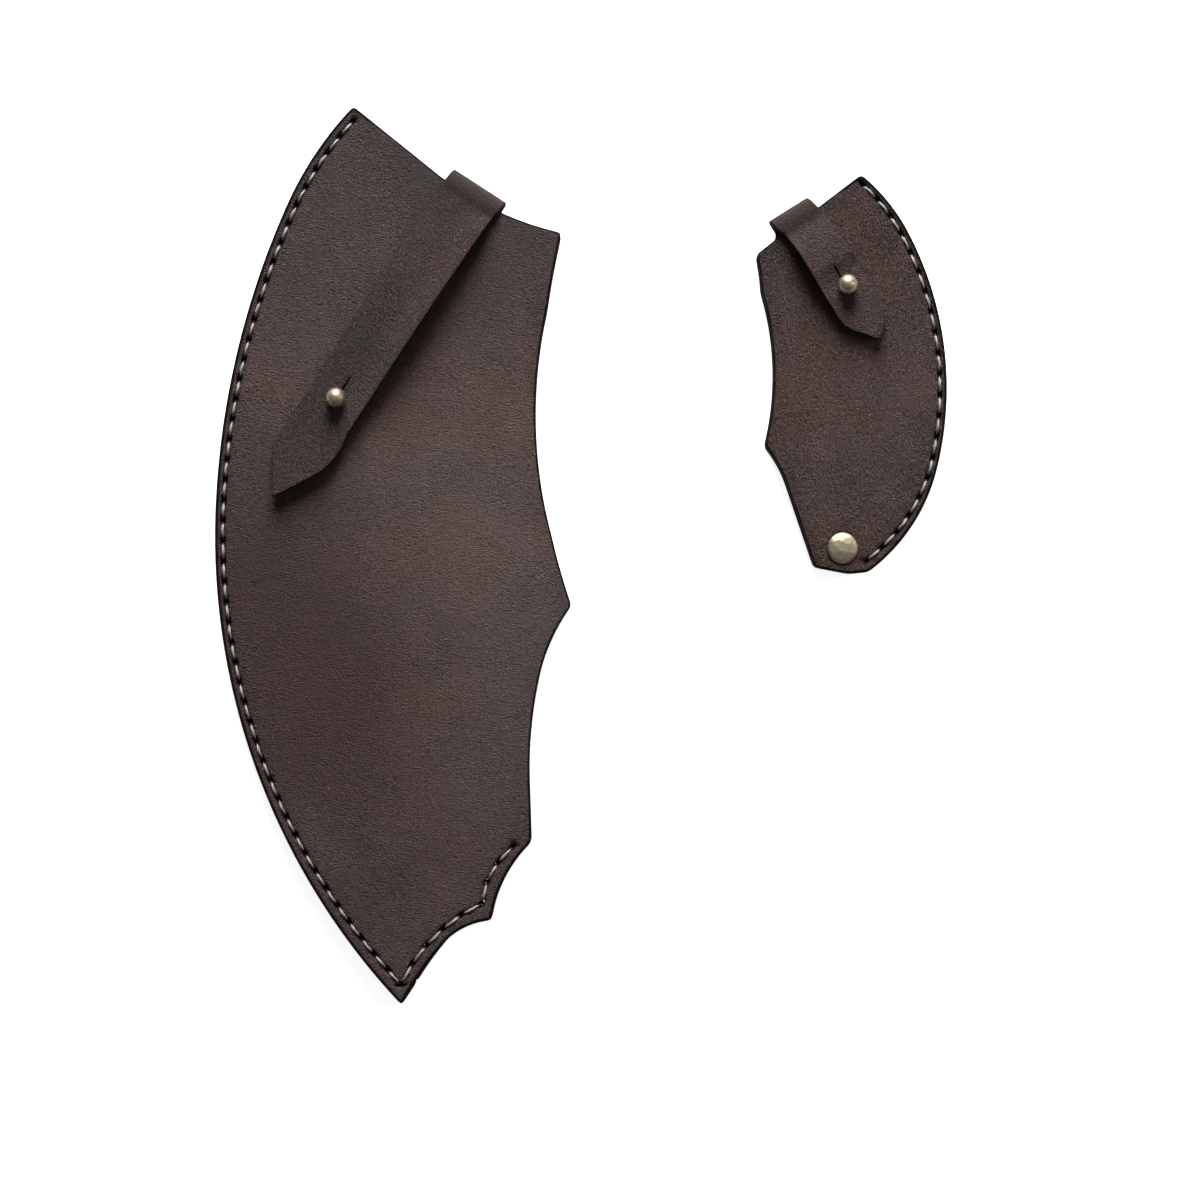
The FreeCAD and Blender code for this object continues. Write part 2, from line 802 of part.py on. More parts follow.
def revolve(label, corners):
    """A turned piece about a vertical axis, from radius and height corners."""
    body = new_body(label)
    body.setExpression("Placement.Base.x", RIVET_PLACE[0])
    body.setExpression("Placement.Base.y", RIVET_PLACE[1])
    sketch = new_sketch(body, label + "Profile", plane="XZ_Plane")
    draw_outline(sketch, corners)
    feature = body.newObject("PartDesign::Revolution", label + "Turned")
    feature.Profile = sketch
    feature.ReferenceAxis = (sketch, ["V_Axis"])
    feature.Angle = 360
    doc.recompute()
    return body


def make_rivet_cap():
    """The domed cap with the hollow post that runs down through the leather."""
    face = FRONT_FACE
    rim = f"{face} + Sheet.rivet_cap_rim"
    crown = f"{rim} + Sheet.rivet_cap_dome"
    foot = "Sheet.rivet_base_thickness"
    bore_roof = f"{foot} + Sheet.rivet_pin_length + Sheet.rivet_clearance"
    dome_height = number("rivet_cap_dome")
    cap_radius = number("rivet_cap_radius")
    dome_radius = str((cap_radius**2 + dome_height**2) / (2 * dome_height))
    corners = [
        ("Sheet.rivet_pin_radius + Sheet.rivet_clearance", foot, None),
        ("Sheet.rivet_post_radius", foot, None),
        ("Sheet.rivet_post_radius", face, None),
        ("Sheet.rivet_cap_radius", face, None),
        ("Sheet.rivet_cap_radius", rim, dome_radius),
        ("0", crown, None),
        ("0", bore_roof, None),
        ("Sheet.rivet_pin_radius + Sheet.rivet_clearance", bore_roof, None),
    ]
    return revolve("small_rivet_cap", corners)


def make_rivet_base():
    """The flat base, let into the back panel, with the pin that fills the post."""
    pin_top = "Sheet.rivet_base_thickness + Sheet.rivet_pin_length"
    corners = [
        ("0", "0", None),
        ("Sheet.rivet_base_radius", "0", None),
        ("Sheet.rivet_base_radius", "Sheet.rivet_base_thickness", None),
        ("Sheet.rivet_pin_radius", "Sheet.rivet_base_thickness", None),
        ("Sheet.rivet_pin_radius", pin_top, None),
        ("0", pin_top, None),
    ]
    return revolve("small_rivet_base", corners)


def punch_rivet(body, top):
    radius = "Sheet.rivet_post_radius + Sheet.rivet_clearance"
    round_cut(body, "RivetHole", RIVET_PLACE, radius, height=top)


def make_large_cover():
    upper = make_welt("large_edge_welt_upper", "large_edge_welt", "large", WELT_JOIN)
    lower = make_welt("large_edge_welt_lower", "large_edge_welt", "large", POCKET_FLOOR)
    heel_upper = make_welt("large_heel_welt_upper", "large_heel_welt", "large", WELT_JOIN)
    heel_lower = make_welt("large_heel_welt_lower", "large_heel_welt", "large", POCKET_FLOOR)
    return [
        make_front_panel("large"),
        make_back_panel("large"),
        upper,
        lower,
        heel_upper,
        heel_lower,
        make_seam_thread("large"),
        make_strap_fold("large"),
        make_strap("large"),
        make_stud("large"),
        make_stud_screw("large"),
    ]


def make_small_cover():
    front = make_front_panel("small")
    punch_rivet(front, "Sheet.panel_thickness")
    back = make_back_panel("small")
    punch_rivet(back, "Sheet.panel_thickness")
    base_seat = "Sheet.rivet_base_radius + Sheet.rivet_clearance"
    depth = "Sheet.rivet_base_thickness"
    round_cut(back, "RivetSeat", RIVET_PLACE, base_seat, depth, upwards=True)
    upper = make_welt("small_edge_welt_upper", "small_edge_welt", "small", WELT_JOIN)
    lower = make_welt("small_edge_welt_lower", "small_edge_welt", "small", POCKET_FLOOR)
    spacers = []
    for name, height in (("upper", WELT_JOIN), ("lower", POCKET_FLOOR)):
        label = f"small_corner_spacer_{name}"
        spacer = plan_body(label, "small_corner_spacer", height, "Sheet.welt_thickness")
        punch_rivet(spacer, "Sheet.welt_thickness")
        spacers.append(spacer)
    return [front, back, upper, lower] + spacers + [
        make_seam_thread("small"),
        make_strap_fold("small"),
        make_strap("small"),
        make_stud("small"),
        make_stud_screw("small"),
        make_rivet_cap(),
        make_rivet_base(),
    ]


def check_document(parts):
    """Stops with a message if any object failed or any sub-part's shape is not sound."""
    for item in doc.Objects:
        if "Invalid" in item.State or "Error" in item.State:
            raise RuntimeError(f"{item.Label} failed: {item.State}")
    for part in parts:
        if part.Shape.isNull() or not part.Shape.isValid() or not part.Shape.Solids:
            raise RuntimeError(f"{part.Label} has no sound shape")


def export(parts):
    os.makedirs("parts", exist_ok=True)
    for part in parts:
        part.Shape.exportStep(f"parts/{part.Label}.step")
        box = part.Shape.BoundBox
        sizes = f"{box.XLength:7.1f} {box.YLength:7.1f} {box.ZLength:6.2f}"
        print(f"{part.Label:26s} {sizes}  {part.Shape.Volume / 1000:8.3f} cm3")


fill_sheet()
parts = make_large_cover() + make_small_cover()
doc.recompute()
check_document(parts)
export(parts)
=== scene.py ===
"""The looks of a pair of leather blade covers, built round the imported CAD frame.

Every leather piece is a closed, worked mesh: rounded burnished edges, a stitching groove with
a slot at each hole, and a swell from use. Each cover's back panel, fold and strap are one
piece of leather, drawn unrolled and then bent over the top edge. Lengths are in millimetres
until a mesh is made.
"""

import json
import math
from types import SimpleNamespace

import bpy
import numpy as np
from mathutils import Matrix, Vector
from mathutils.geometry import delaunay_2d_cdt


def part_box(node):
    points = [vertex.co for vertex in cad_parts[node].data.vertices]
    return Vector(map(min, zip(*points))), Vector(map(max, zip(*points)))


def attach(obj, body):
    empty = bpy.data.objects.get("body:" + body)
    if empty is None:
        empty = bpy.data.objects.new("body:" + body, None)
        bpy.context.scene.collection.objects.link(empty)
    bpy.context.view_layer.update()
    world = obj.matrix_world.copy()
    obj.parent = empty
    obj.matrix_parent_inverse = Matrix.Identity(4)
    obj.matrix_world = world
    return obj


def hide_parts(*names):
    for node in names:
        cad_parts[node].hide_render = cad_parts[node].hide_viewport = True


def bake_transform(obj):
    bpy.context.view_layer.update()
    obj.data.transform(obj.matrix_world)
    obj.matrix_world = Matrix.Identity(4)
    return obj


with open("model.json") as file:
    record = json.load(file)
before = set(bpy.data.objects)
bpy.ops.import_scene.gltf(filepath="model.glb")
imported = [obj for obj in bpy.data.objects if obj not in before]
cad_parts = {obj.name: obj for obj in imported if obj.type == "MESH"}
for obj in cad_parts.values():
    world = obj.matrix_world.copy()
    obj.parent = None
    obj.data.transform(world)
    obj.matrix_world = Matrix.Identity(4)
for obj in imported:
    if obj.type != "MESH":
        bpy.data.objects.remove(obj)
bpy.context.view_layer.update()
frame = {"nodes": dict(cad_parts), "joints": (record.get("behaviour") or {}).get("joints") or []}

MM = 0.001
EAST = np.array([1.0, 0.0])

# A distance that stands for "nowhere near".
FAR = 99.0

# How finely the leather is divided.
OUTLINE_STEP = 0.9
SEAM_STEP = 0.5
GRID_STEP = 2.3
EDGE_ROWS = (0.12, 0.3, 0.55, 0.9, 1.4)
HOLE_ROWS = (0.15, 0.4, 0.8)
SEAM_ROWS = (0.0, 0.35, 0.7, 1.1, 1.6, 2.2)
SLOT_ROWS = (1.0, 1.15, 1.35, 1.6)

# A turn above this is a corner, and an edge longer than this is straight.
CORNER = math.radians(14)
STRAIGHT = 9.0

# Worked leather.
THICKNESS = 2.2
EDGE_ROUND = 0.85
STRAP_ROUND = 0.45
INNER_ROUND = 0.2
SLOT_HALF_LENGTH = 1.35
SLOT_HALF_WIDTH = 0.55
THREAD_RADIUS = 0.43

# The strap's bend: how far out it reaches, and where its two quarter turns begin.
FOLD_REACH = 4.4
FOLD_INSIDE = 2.2
FOLD_LOW = 0.8
FOLD_HIGH = 1.6
HINGE_OUTSIDE = 3.0
STRAP_HALF_WIDTH = 12.5

BALL_RADIUS = 3.0
NECK_RADIUS = 1.6
FLANGE_RADIUS = 3.4
FLANGE_THICKNESS = 0.6
STUD_HOLE = 1.75
SCREW_SEAT = 4.1
SCREW_SEAT_DEPTH = 0.9
RIVET_HOLE = 2.0
RIVET_BASE = 4.5


# ------------ reading the frame


def heights(node):
    """The lowest and highest level of a CAD node."""
    low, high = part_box(node)
    return low.z / MM, high.z / MM


def middle(node):
    """The middle of a CAD node in plan."""
    low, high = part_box(node)
    return np.array([low.x + high.x, low.y + high.y]) / 2 / MM


def half_width(node):
    """Half of a CAD node's extent along X."""
    low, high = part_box(node)
    return (high.x - low.x) / 2 / MM


def loop_length(loop):
    """The length round a closed loop."""
    return norms(np.roll(loop, -1, 0) - loop).sum()


def signed_area(loop):
    """A loop's area, positive if it runs anticlockwise."""
    after = np.roll(loop, -1, 0)
    return (loop[:, 0] * after[:, 1] - after[:, 0] * loop[:, 1]).sum() / 2


def node_loops(name, height):
    """The loops that bound a CAD node's flat faces at a height, longest first.

    The first one, the outline, is turned anticlockwise and the holes clockwise.
    """
    mesh = frame["nodes"][name].data
    corners = np.array([v.co for v in mesh.vertices]) / MM
    places, ids = np.unique(np.round(corners, 3), axis=0, return_inverse=True)
    ids = ids.ravel()
    mesh.calc_loop_triangles()
    onward = {}
    for triangle in mesh.loop_triangles:
        a, b, c = (int(ids[i]) for i in triangle.vertices)
        if len({a, b, c}) < 3 or np.abs(places[[a, b, c], 2] - height).max() > 0.01:
            continue
        for start, end in ((a, b), (b, c), (c, a)):
            if onward.get(end) and start in onward[end]:
                onward[end].discard(start)
            else:
                onward.setdefault(start, set()).add(end)
    loops = []
    while any(onward.values()):
        place = next(start for start, ends in onward.items() if ends)
        loop = []
        while onward.get(place):
            loop.append(place)
            place = onward[place].pop()
        loops.append(places[loop][:, :2])
    loops.sort(key=loop_length, reverse=True)
    outline, *holes = loops
    if signed_area(outline) < 0:
        outline = outline[::-1]
    return [outline] + [h if signed_area(h) < 0 else h[::-1] for h in holes]


def strap_frame(side):
    """The root of a cover's strap, and the ways along and across it, from its hinge."""
    joint = next(j for j in frame["joints"] if j["name"] == f"{side}_strap_hinge")
    across = -np.array(joint["axis"][:2])
    along = np.array([across[1], -across[0]])
    root = np.array(joint["pos_m"][:2]) / MM + HINGE_OUTSIDE * along
    return root, along, across


# ------------ lines and distances


def norms(vectors):
    """The length of each vector in an array."""
    return np.linalg.norm(vectors, axis=-1)


def smoothstep(value, start, end):
    """0 before start, 1 after end, and a smooth rise between them."""
    part = np.clip((value - start) / (end - start), 0, 1)
    return part * part * (3 - 2 * part)


def through(points, step):
    """An open line redrawn at an even step, on a smooth curve through its points."""
    chord = norms(np.diff(points, axis=0))
    place = np.concatenate([[0], np.cumsum(chord)])
    slope = np.diff(points, axis=0) / chord[:, None]
    tangent = np.vstack([slope[:1], slope])
    if len(points) > 2:
        before = chord[:-1, None]
        after = chord[1:, None]
        tangent[1:-1] = (slope[:-1] * after + slope[1:] * before) / (before + after)
        tangent[0] = 2 * slope[0] - tangent[1]
        tangent[-1] = 2 * slope[-1] - tangent[-2]
    count = max(1, round(place[-1] / step))
    at = np.linspace(0, place[-1], count + 1)
    index = np.clip(np.searchsorted(place, at, side="right") - 1, 0, len(chord) - 1)
    size = chord[index][:, None]
    t = (at - place[index])[:, None] / size
    return (
        (2 * t**3 - 3 * t**2 + 1) * points[index]
        + (t**3 - 2 * t**2 + t) * size * tangent[index]
        + (3 * t**2 - 2 * t**3) * points[index + 1]
        + (t**3 - t**2) * size * tangent[index + 1]
    )


def redraw(loop, step, rounds=2):
    """A closed loop redrawn at an even step: smooth on its curves, just rounded at corners."""
    edge = np.roll(loop, -1, 0) - loop
    heading = np.arctan2(edge[:, 1], edge[:, 0])
    turn = np.abs((heading - np.roll(heading, 1) + math.pi) % (2 * math.pi) - math.pi)
    straight = norms(edge) > STRAIGHT
    breaks = np.flatnonzero((turn > CORNER) | straight | np.roll(straight, 1))
    runs = []
    for first, last in zip(breaks, np.roll(breaks, -1)):
        count = (last - first) % len(loop) or len(loop)
        run = loop[(first + np.arange(count + 1)) % len(loop)]
        runs.append(through(run, step)[:-1])
    line = np.vstack(runs)
    for _ in range(rounds):
        line = (np.roll(line, 1, 0) + 2 * line + np.roll(line, -1, 0)) / 4
    return line


def closed(loop):
    """A loop as a line that ends where it starts."""
    return np.vstack([loop, loop[:1]])


def beside(line, offset, is_loop=True):
    """A line's points moved to its left."""
    if is_loop:
        way = np.roll(line, -1, 0) - np.roll(line, 1, 0)
    else:
        way = np.gradient(line, axis=0)
    way /= norms(way)[:, None]
    return line + offset * np.stack([-way[:, 1], way[:, 0]], 1)


def distance_to(points, line):
    """Each point's distance to an open line."""
    start = line[:-1]
    span = np.diff(line, axis=0)
    square = np.maximum((span**2).sum(1), 1e-12)
    found = []
    for part in np.array_split(points, len(points) // 1500 + 1):
        reach = part[:, None] - start
        t = np.clip((reach * span).sum(2) / square, 0, 1)
        found.append(norms(reach - t[..., None] * span).min(1))
    return np.concatenate(found)


def is_inside(points, loop):
    """Whether each point is inside a closed loop."""
    after = np.roll(loop, -1, 0)
    rise = after[:, 1] - loop[:, 1]
    rise = np.where(rise == 0, 1e-12, rise)
    found = []
    for part in np.array_split(points, len(points) // 2000 + 1):
        x, y = part[:, :1], part[:, 1:]
        crosses = (after[:, 1] > y) != (loop[:, 1] > y)
        at = loop[:, 0] + (after[:, 0] - loop[:, 0]) * (y - loop[:, 1]) / rise
        found.append((crosses & (x < at)).sum(1) % 2 == 1)
    return np.concatenate(found)


def ellipse(centre, way, half_length, half_width, count):
    """A clockwise ellipse whose long axis runs along way."""
    angle = -np.linspace(0, 2 * math.pi, count, endpoint=False)
    side = np.array([-way[1], way[0]])
    return (
        centre
        + half_length * np.cos(angle)[:, None] * way
        + half_width * np.sin(angle)[:, None] * side
    )


# ------------ the seam


class Seam:
    """A line of saddle stitches: its holes in order, and the line they lie on."""

    def __init__(self, node, height):
        loops = node_loops(node, height)[1:]
        left = [loop.mean(0) for loop in loops if loop_length(loop) < 6]
        left.sort(key=lambda hole: hole[1])
        order = [left.pop()]
        while left:
            nearest = min(
                range(len(left)), key=lambda i: np.linalg.norm(left[i] - order[-1])
            )
            order.append(left.pop(nearest))
        self.holes = np.array(order)
        step = np.diff(self.holes, axis=0)
        step /= norms(step)[:, None]
        way = np.vstack([step[:1], step[:-1] + step[1:], step[-1:]])
        self.way = way / norms(way)[:, None]
        turn = (step[:-1] * step[1:]).sum(1)
        sharp = [0] + [i + 1 for i in np.flatnonzero(turn < math.cos(CORNER * 2))]
        sharp.append(len(self.holes) - 1)
        runs = [
            through(self.holes[first : last + 1], SEAM_STEP)
            for first, last in zip(sharp, sharp[1:])
        ]
        self.line = np.vstack([runs[0]] + [run[1:] for run in runs[1:]])

    def slots(self, scale=1.0, width=SLOT_HALF_WIDTH):
        """The outline of each hole, which an awl leaves long and narrow.

        The end holes have thread on one side only, and stay shorter.
        """
        length = np.full(len(self.holes), SLOT_HALF_LENGTH)
        length[[0, -1]] *= 0.6
        centre = self.holes.copy()
        centre[0] += 0.4 * SLOT_HALF_LENGTH * self.way[0]
        centre[-1] -= 0.4 * SLOT_HALF_LENGTH * self.way[-1]
        return [
            ellipse(*hole, width * scale, 14)
            for hole in zip(centre, self.way, length * scale)
        ]

    def slot_place(self, points):
        """How far each point is from its nearest slot: 0 at its middle, 1 on its outline."""
        gap = norms(points[:, None] - self.holes)
        nearest = gap.argmin(1)
        reach = points - self.holes[nearest]
        way = self.way[nearest]
        along = (reach * way).sum(1)
        across = reach[:, 1] * way[:, 0] - reach[:, 0] * way[:, 1]
        return np.hypot(along / SLOT_HALF_LENGTH, across / SLOT_HALF_WIDTH)


# ------------ flat pieces of leather


def fill(outline, holes, within):
    """Delaunay points and triangles of the leather between an outline and its holes."""
    loops = [outline] + holes
    edges = []
    start = 0
    for loop in loops:
        count = len(loop)
        edges += [(start + i, start + (i + 1) % count) for i in range(count)]
        start += count
    corners = [Vector(point) for point in np.vstack(loops + [within])]
    found = delaunay_2d_cdt(corners, edges, [], 1, 1e-5)
    points = np.array([(v.x, v.y) for v in found[0]])
    triangles = np.array(found[2])
    middles = points[triangles].mean(1)
    keep = np.ones(len(triangles), bool)
    for hole in holes:
        low, high = hole.min(0), hole.max(0)
        near = np.flatnonzero(((middles > low) & (middles < high)).all(1))
        keep[near] &= ~is_inside(middles[near], hole)
    return points, triangles[keep]


class Plan:
    """A flat piece of leather: points and triangles, and distances to its edges and seam."""

    def __init__(self, outline, holes=(), seam=None, rows=(), grid=GRID_STEP, wide_slots=False):
        outline = redraw(outline, OUTLINE_STEP)
        holes = list(holes)
        width = SLOT_HALF_WIDTH * (1.5 if wide_slots else 1)
        slots = seam.slots(width=width) if seam else []
        insets = EDGE_ROWS if grid else EDGE_ROWS[:1]
        within = [self.edge_row(outline, outline, inset) for inset in insets]
        for hole in holes:
            within += [self.edge_row(hole, outline, inset, closed(hole)) for inset in HOLE_ROWS]
        if seam and grid:
            within += self.seam_rows(seam, outline, holes)
        if grid:
            within.append(self.grid(outline, holes, seam, rows, grid))
        within = np.vstack(within)
        within = within[is_inside(within, outline)]
        for hole in holes:
            within = within[~is_inside(within, hole)]
        if seam:
            within = within[seam.slot_place(within) > 1.06 * width / SLOT_HALF_WIDTH]
        cells = np.round(within / 0.1).astype(int)
        within = within[np.sort(np.unique(cells, axis=0, return_index=True)[1])]
        self.points, self.triangles = fill(outline, holes + slots, within)
        self.edge = distance_to(self.points, closed(outline))
        self.hole = np.full(len(self.points), FAR)
        for hole in holes:
            self.hole = np.minimum(self.hole, distance_to(self.points, closed(hole)))
        self.seam = np.full(len(self.points), FAR)
        self.slot = np.full(len(self.points), FAR)
        if seam:
            self.seam = distance_to(self.points, seam.line)
            self.slot = seam.slot_place(self.points)

    @staticmethod
    def edge_row(loop, outline, inset, other=None):
        """A row of points at an inset from a loop, clear of where the loop turns in on it."""
        row = beside(loop, inset)
        line = closed(outline) if other is None else other
        return row[distance_to(row, line) > 0.85 * inset]

    @staticmethod
    def seam_rows(seam, outline, holes):
        rows = []
        for offset in SEAM_ROWS:
            for sign in (1, -1):
                rows.append(beside(seam.line, sign * offset, is_loop=False))
        rows = np.vstack(rows)
        rows = rows[distance_to(rows, closed(outline)) > EDGE_ROWS[-1] + 0.2]
        rows = rows[seam.slot_place(rows) > SLOT_ROWS[-1] + 0.15]
        for hole in holes:
            rows = rows[distance_to(rows, closed(hole)) > HOLE_ROWS[-1] + 0.2]
        return [rows] + [np.vstack(seam.slots(scale)) for scale in SLOT_ROWS[1:]]

    @staticmethod
    def grid(outline, holes, seam, rows, step):
        """An even triangular grid, left out where finer rows lie."""
        low, high = outline.min(0), outline.max(0)
        x = np.arange(low[0], high[0], step)
        y = np.arange(low[1], high[1], step * math.sqrt(0.75))
        column, line = np.meshgrid(x, y)
        column = column + (np.arange(len(y)) % 2)[:, None] * step / 2
        grid = np.stack([column.ravel(), line.ravel()], 1)
        for extra, clear in rows:
            grid = grid[~clear(grid)]
        grid = np.vstack([grid] + [extra for extra, _ in rows])
        grid = grid[distance_to(grid, closed(outline)) > EDGE_ROWS[-1] + 0.3]
        for hole in holes:
            grid = grid[distance_to(grid, closed(hole)) > HOLE_ROWS[-1] + 0.3]
        if seam:
            grid = grid[distance_to(grid, seam.line) > SEAM_ROWS[-1] + 0.6]
        return grid


def rounding(distance, radius):
    """How far a face falls away towards an edge rounded to a radius."""
    reach = np.clip(radius - distance, 0, radius)
    return radius - np.sqrt(radius**2 - reach**2)


def make_mesh(name, points, faces, marks):
    """A mesh object from points in millimetres, with one value or vector per point per mark."""
    mesh = bpy.data.meshes.new(name)
    mesh.from_pydata((points * MM).tolist(), [], faces)
    for mark, values in marks.items():
        flat = values.ndim == 1
        layer = mesh.attributes.new(mark, "FLOAT" if flat else "FLOAT_VECTOR", "POINT")
        layer.data.foreach_set("value" if flat else "vector", values.astype(np.float32).ravel())
    mesh.polygons.foreach_set("use_smooth", [True] * len(mesh.polygons))
    made = bpy.data.objects.new(name, mesh)
    bpy.context.scene.collection.objects.link(made)
    return made


def solid(name, plan, low, high, place, marks):
    """Closed leather between two faces over a plan.

    place turns flat points and heights into points in space. Each mark is a pair: its value
    over the low face and over the high face.
    """
    count = len(plan.points)
    triangles = plan.triangles
    edges = np.vstack([triangles[:, [0, 1]], triangles[:, [1, 2]], triangles[:, [2, 0]]])
    known = set(map(tuple, edges.tolist()))
    rim = [(a, b) for a, b in known if (b, a) not in known]
    rim.sort()
    faces = triangles[:, ::-1].tolist() + (triangles + count).tolist()
    faces += [(a, b, b + count, a + count) for a, b in rim]
    points = np.vstack([place(plan.points, low), place(plan.points, high)])
    both = {mark: np.concatenate(values) for mark, values in marks.items()}
    return make_mesh(name, points, faces, both)


def stay_flat(points, height):
    """Points in space, for a piece that is not bent."""
    return np.column_stack([points, height])


# ------------ relief of the leather


def swell(points, phase):
    """A slow rise and fall of used leather, between -1 and 1."""
    x, y = points[:, 0], points[:, 1]
    return (
        np.sin(x / 9.5 + y / 23.0 + phase)
        + np.sin(y / 11.0 - x / 31.0 + 2.1 * phase)
        + np.sin((x + y) / 17.0 + 0.7 * phase)
    ) / 3


def seam_dent(plan, groove):
    """How far the pulled thread sinks a face: a dip, the groove, and a slot at each hole."""
    dip = 0.25 * np.exp(-((plan.seam / 2.4) ** 2))
    cut = groove * np.exp(-((plan.seam / 0.75) ** 2))
    slot = 0.9 * (1 - smoothstep(plan.slot, 1.0, 1.65))
    return dip + cut + slot


def flat_marks(plan, low_is_flesh, high_is_flesh, grain_way, coarse=1.0, patina=None):
    """The marks that every leather piece carries for its material."""
    turn = np.array([[grain_way[0], grain_way[1]], [-grain_way[1], grain_way[0]]])
    flat = np.column_stack([plan.points @ turn.T, np.zeros(len(plan.points))])
    edge = np.minimum(plan.edge, plan.hole)
    none = np.zeros(len(plan.points))
    light, red = patina(plan.points) if patina else (none, none)
    return {
        "flat": (flat, flat + [0, 0, 40]),
        "edge": (edge, edge),
        "seam": (plan.seam, plan.seam),
        "slot": (plan.slot, plan.slot),
        "flesh": (none + low_is_flesh, none + high_is_flesh),
        "light": (light, light),
        "red": (red, red),
        "crease_and_shade": (none, none),
        "coarse": (none + coarse, none + coarse),
    }


# ------------ the strap's bend


class Bend:
    """Takes a cover's back leather from its unrolled shape to its bent one.

    Unrolled, the strap runs straight out from the top edge. Bent, it turns up outside the
    edge and comes back over the front panel.
    """

    def __init__(self, side, top, lean, bow, raised_side, roll, lift):
        self.root, self.along, self.across = strap_frame(side)
        self.top = top
        self.lean = lean
        self.bow = bow
        self.raised_side = raised_side
        self.roll = roll
        self.lift = lift
        self.stud = (middle(f"{side}_stud") - self.root) @ self.along
        self.angle = np.linspace(-math.pi / 2, math.pi / 2, 181)
        self.outer = self.section(FOLD_REACH, 0.0, 2.3)
        self.inner = self.section(FOLD_INSIDE, THICKNESS, 4.0)
        core = (self.outer + self.inner) / 2
        length = norms(np.diff(core, axis=0))
        self.place = FOLD_LOW + np.concatenate([[0], np.cumsum(length)])
        self.end = self.place[-1]

    def section(self, reach, skin, power):
        """One side of the bend in section: a quarter turn up and a wider one back."""
        begin = np.where(self.angle < 0, -FOLD_LOW, FOLD_HIGH)
        half = self.top / 2 - skin
        out = (reach + begin) * np.cos(self.angle) ** (2 / power)
        up = half * np.sign(self.angle) * np.abs(np.sin(self.angle)) ** (2 / power)
        return np.column_stack([begin - out, self.top / 2 + up])

    def local(self, points):
        """How far each unrolled point is outside the root, and across the strap."""
        reach = points - self.root
        return -reach @ self.along, reach @ self.across

    def on_strap(self, points):
        out, across = self.local(points)
        return (out > FOLD_LOW) & (np.abs(across) < STRAP_HALF_WIDTH)

    def unroll(self, points):
        """Where points of the bent strap lie when it is unrolled."""
        reach = points - self.root
        out = self.end + reach @ self.along - FOLD_HIGH
        across = reach @ self.across
        return self.root - out[:, None] * self.along + across[:, None] * self.across

    def along_strap(self, points):
        """How far along the bent strap each unrolled point lies."""
        out, _ = self.local(points)
        return out - self.end + FOLD_HIGH

    def raise_strap(self, along, across):
        """The strap's bow between fold and stud, its raised side and the lift of its tip."""
        held = smoothstep(along, FOLD_HIGH, self.stud * 0.45)
        held *= 1 - smoothstep(along, self.stud * 0.6, self.stud - 2.5)
        free = np.clip(along - self.stud - 5, 0, None) / 30
        side = smoothstep(across * self.raised_side, 0.5, 10.0)
        side *= smoothstep(along, FOLD_HIGH, FOLD_HIGH + 7)
        side *= 1 - 0.6 * smoothstep(along, self.stud, self.stud + 12)
        crown = 0.2 * smoothstep(along, 2.0, 8.0) * (1 - (across / 9.5) ** 2)
        return self.bow * held + self.lift * free**2 + self.roll * side + crown

    def __call__(self, points, depth):
        """Bends unrolled points, depth millimetres in from the grain side."""
        placed = np.column_stack([points, depth])
        moved = self.on_strap(points)
        out, across = self.local(points[moved])
        depth = depth[moved]
        turned = np.clip((out - FOLD_LOW) / (self.end - FOLD_LOW), 0, 1)
        sheared = across + self.lean * np.sqrt(np.sin(math.pi * turned))
        part = (depth / THICKNESS)[:, None]
        outer = np.column_stack([np.interp(out, self.place, self.outer[:, i]) for i in (0, 1)])
        inner = np.column_stack([np.interp(out, self.place, self.inner[:, i]) for i in (0, 1)])
        section = outer * (1 - part) + inner * part
        past = out > self.end
        section[past, 0] = FOLD_HIGH + out[past] - self.end
        section[past, 1] = self.top - depth[past]
        section[:, 1] += np.where(past, self.raise_strap(section[:, 0], sheared), 0)
        plan = self.root + section[:, :1] * self.along + sheared[:, None] * self.across
        placed[moved] = np.column_stack([plan, section[:, 1]])
        return placed


def unrolled_outline(side, bend):
    """The back panel's outline with the strap drawn straight out from its top edge."""
    panel = node_loops(f"{side}_back_panel", THICKNESS)[0]
    strap_low = heights(f"{side}_strap")[0]
    strap = node_loops(f"{side}_strap", strap_low)
    out, across = bend.local(panel)
    ends = np.flatnonzero((out > 0.9) & (np.abs(across) < STRAP_HALF_WIDTH))
    first, last = (ends[0], ends[1]) if ends[1] - ends[0] == 1 else (ends[1], ends[0])
    free = bend.local(strap[0])[0] < 0.5
    start = np.flatnonzero(~free & np.roll(free, -1))[0]
    run = np.roll(strap[0], -start - 1, 0)[: free.sum()]
    run = bend.unroll(run)
    if np.sign(bend.local(run[:1])[1][0]) != np.sign(across[first]):
        run = run[::-1]
    outline = np.vstack([np.roll(panel, -last, 0), run])
    return outline, [bend.unroll(strap[1])[::-1]]


def close_slit(hole, bend, shift):
    """A keyhole with its slit sprung nearly shut between the stud and the fold."""
    across = (hole - bend.root) @ bend.across
    along = bend.along_strap(hole)
    centre = across[along > along.max() - 0.3].mean()
    open_part = smoothstep(along, bend.stud - 2.4, bend.stud - 1.4)
    slim = centre + shift + 0.4 * (across - centre)
    moved = (slim - across) * (1 - open_part)
    return hole + moved[:, None] * bend.across


# ------------ materials


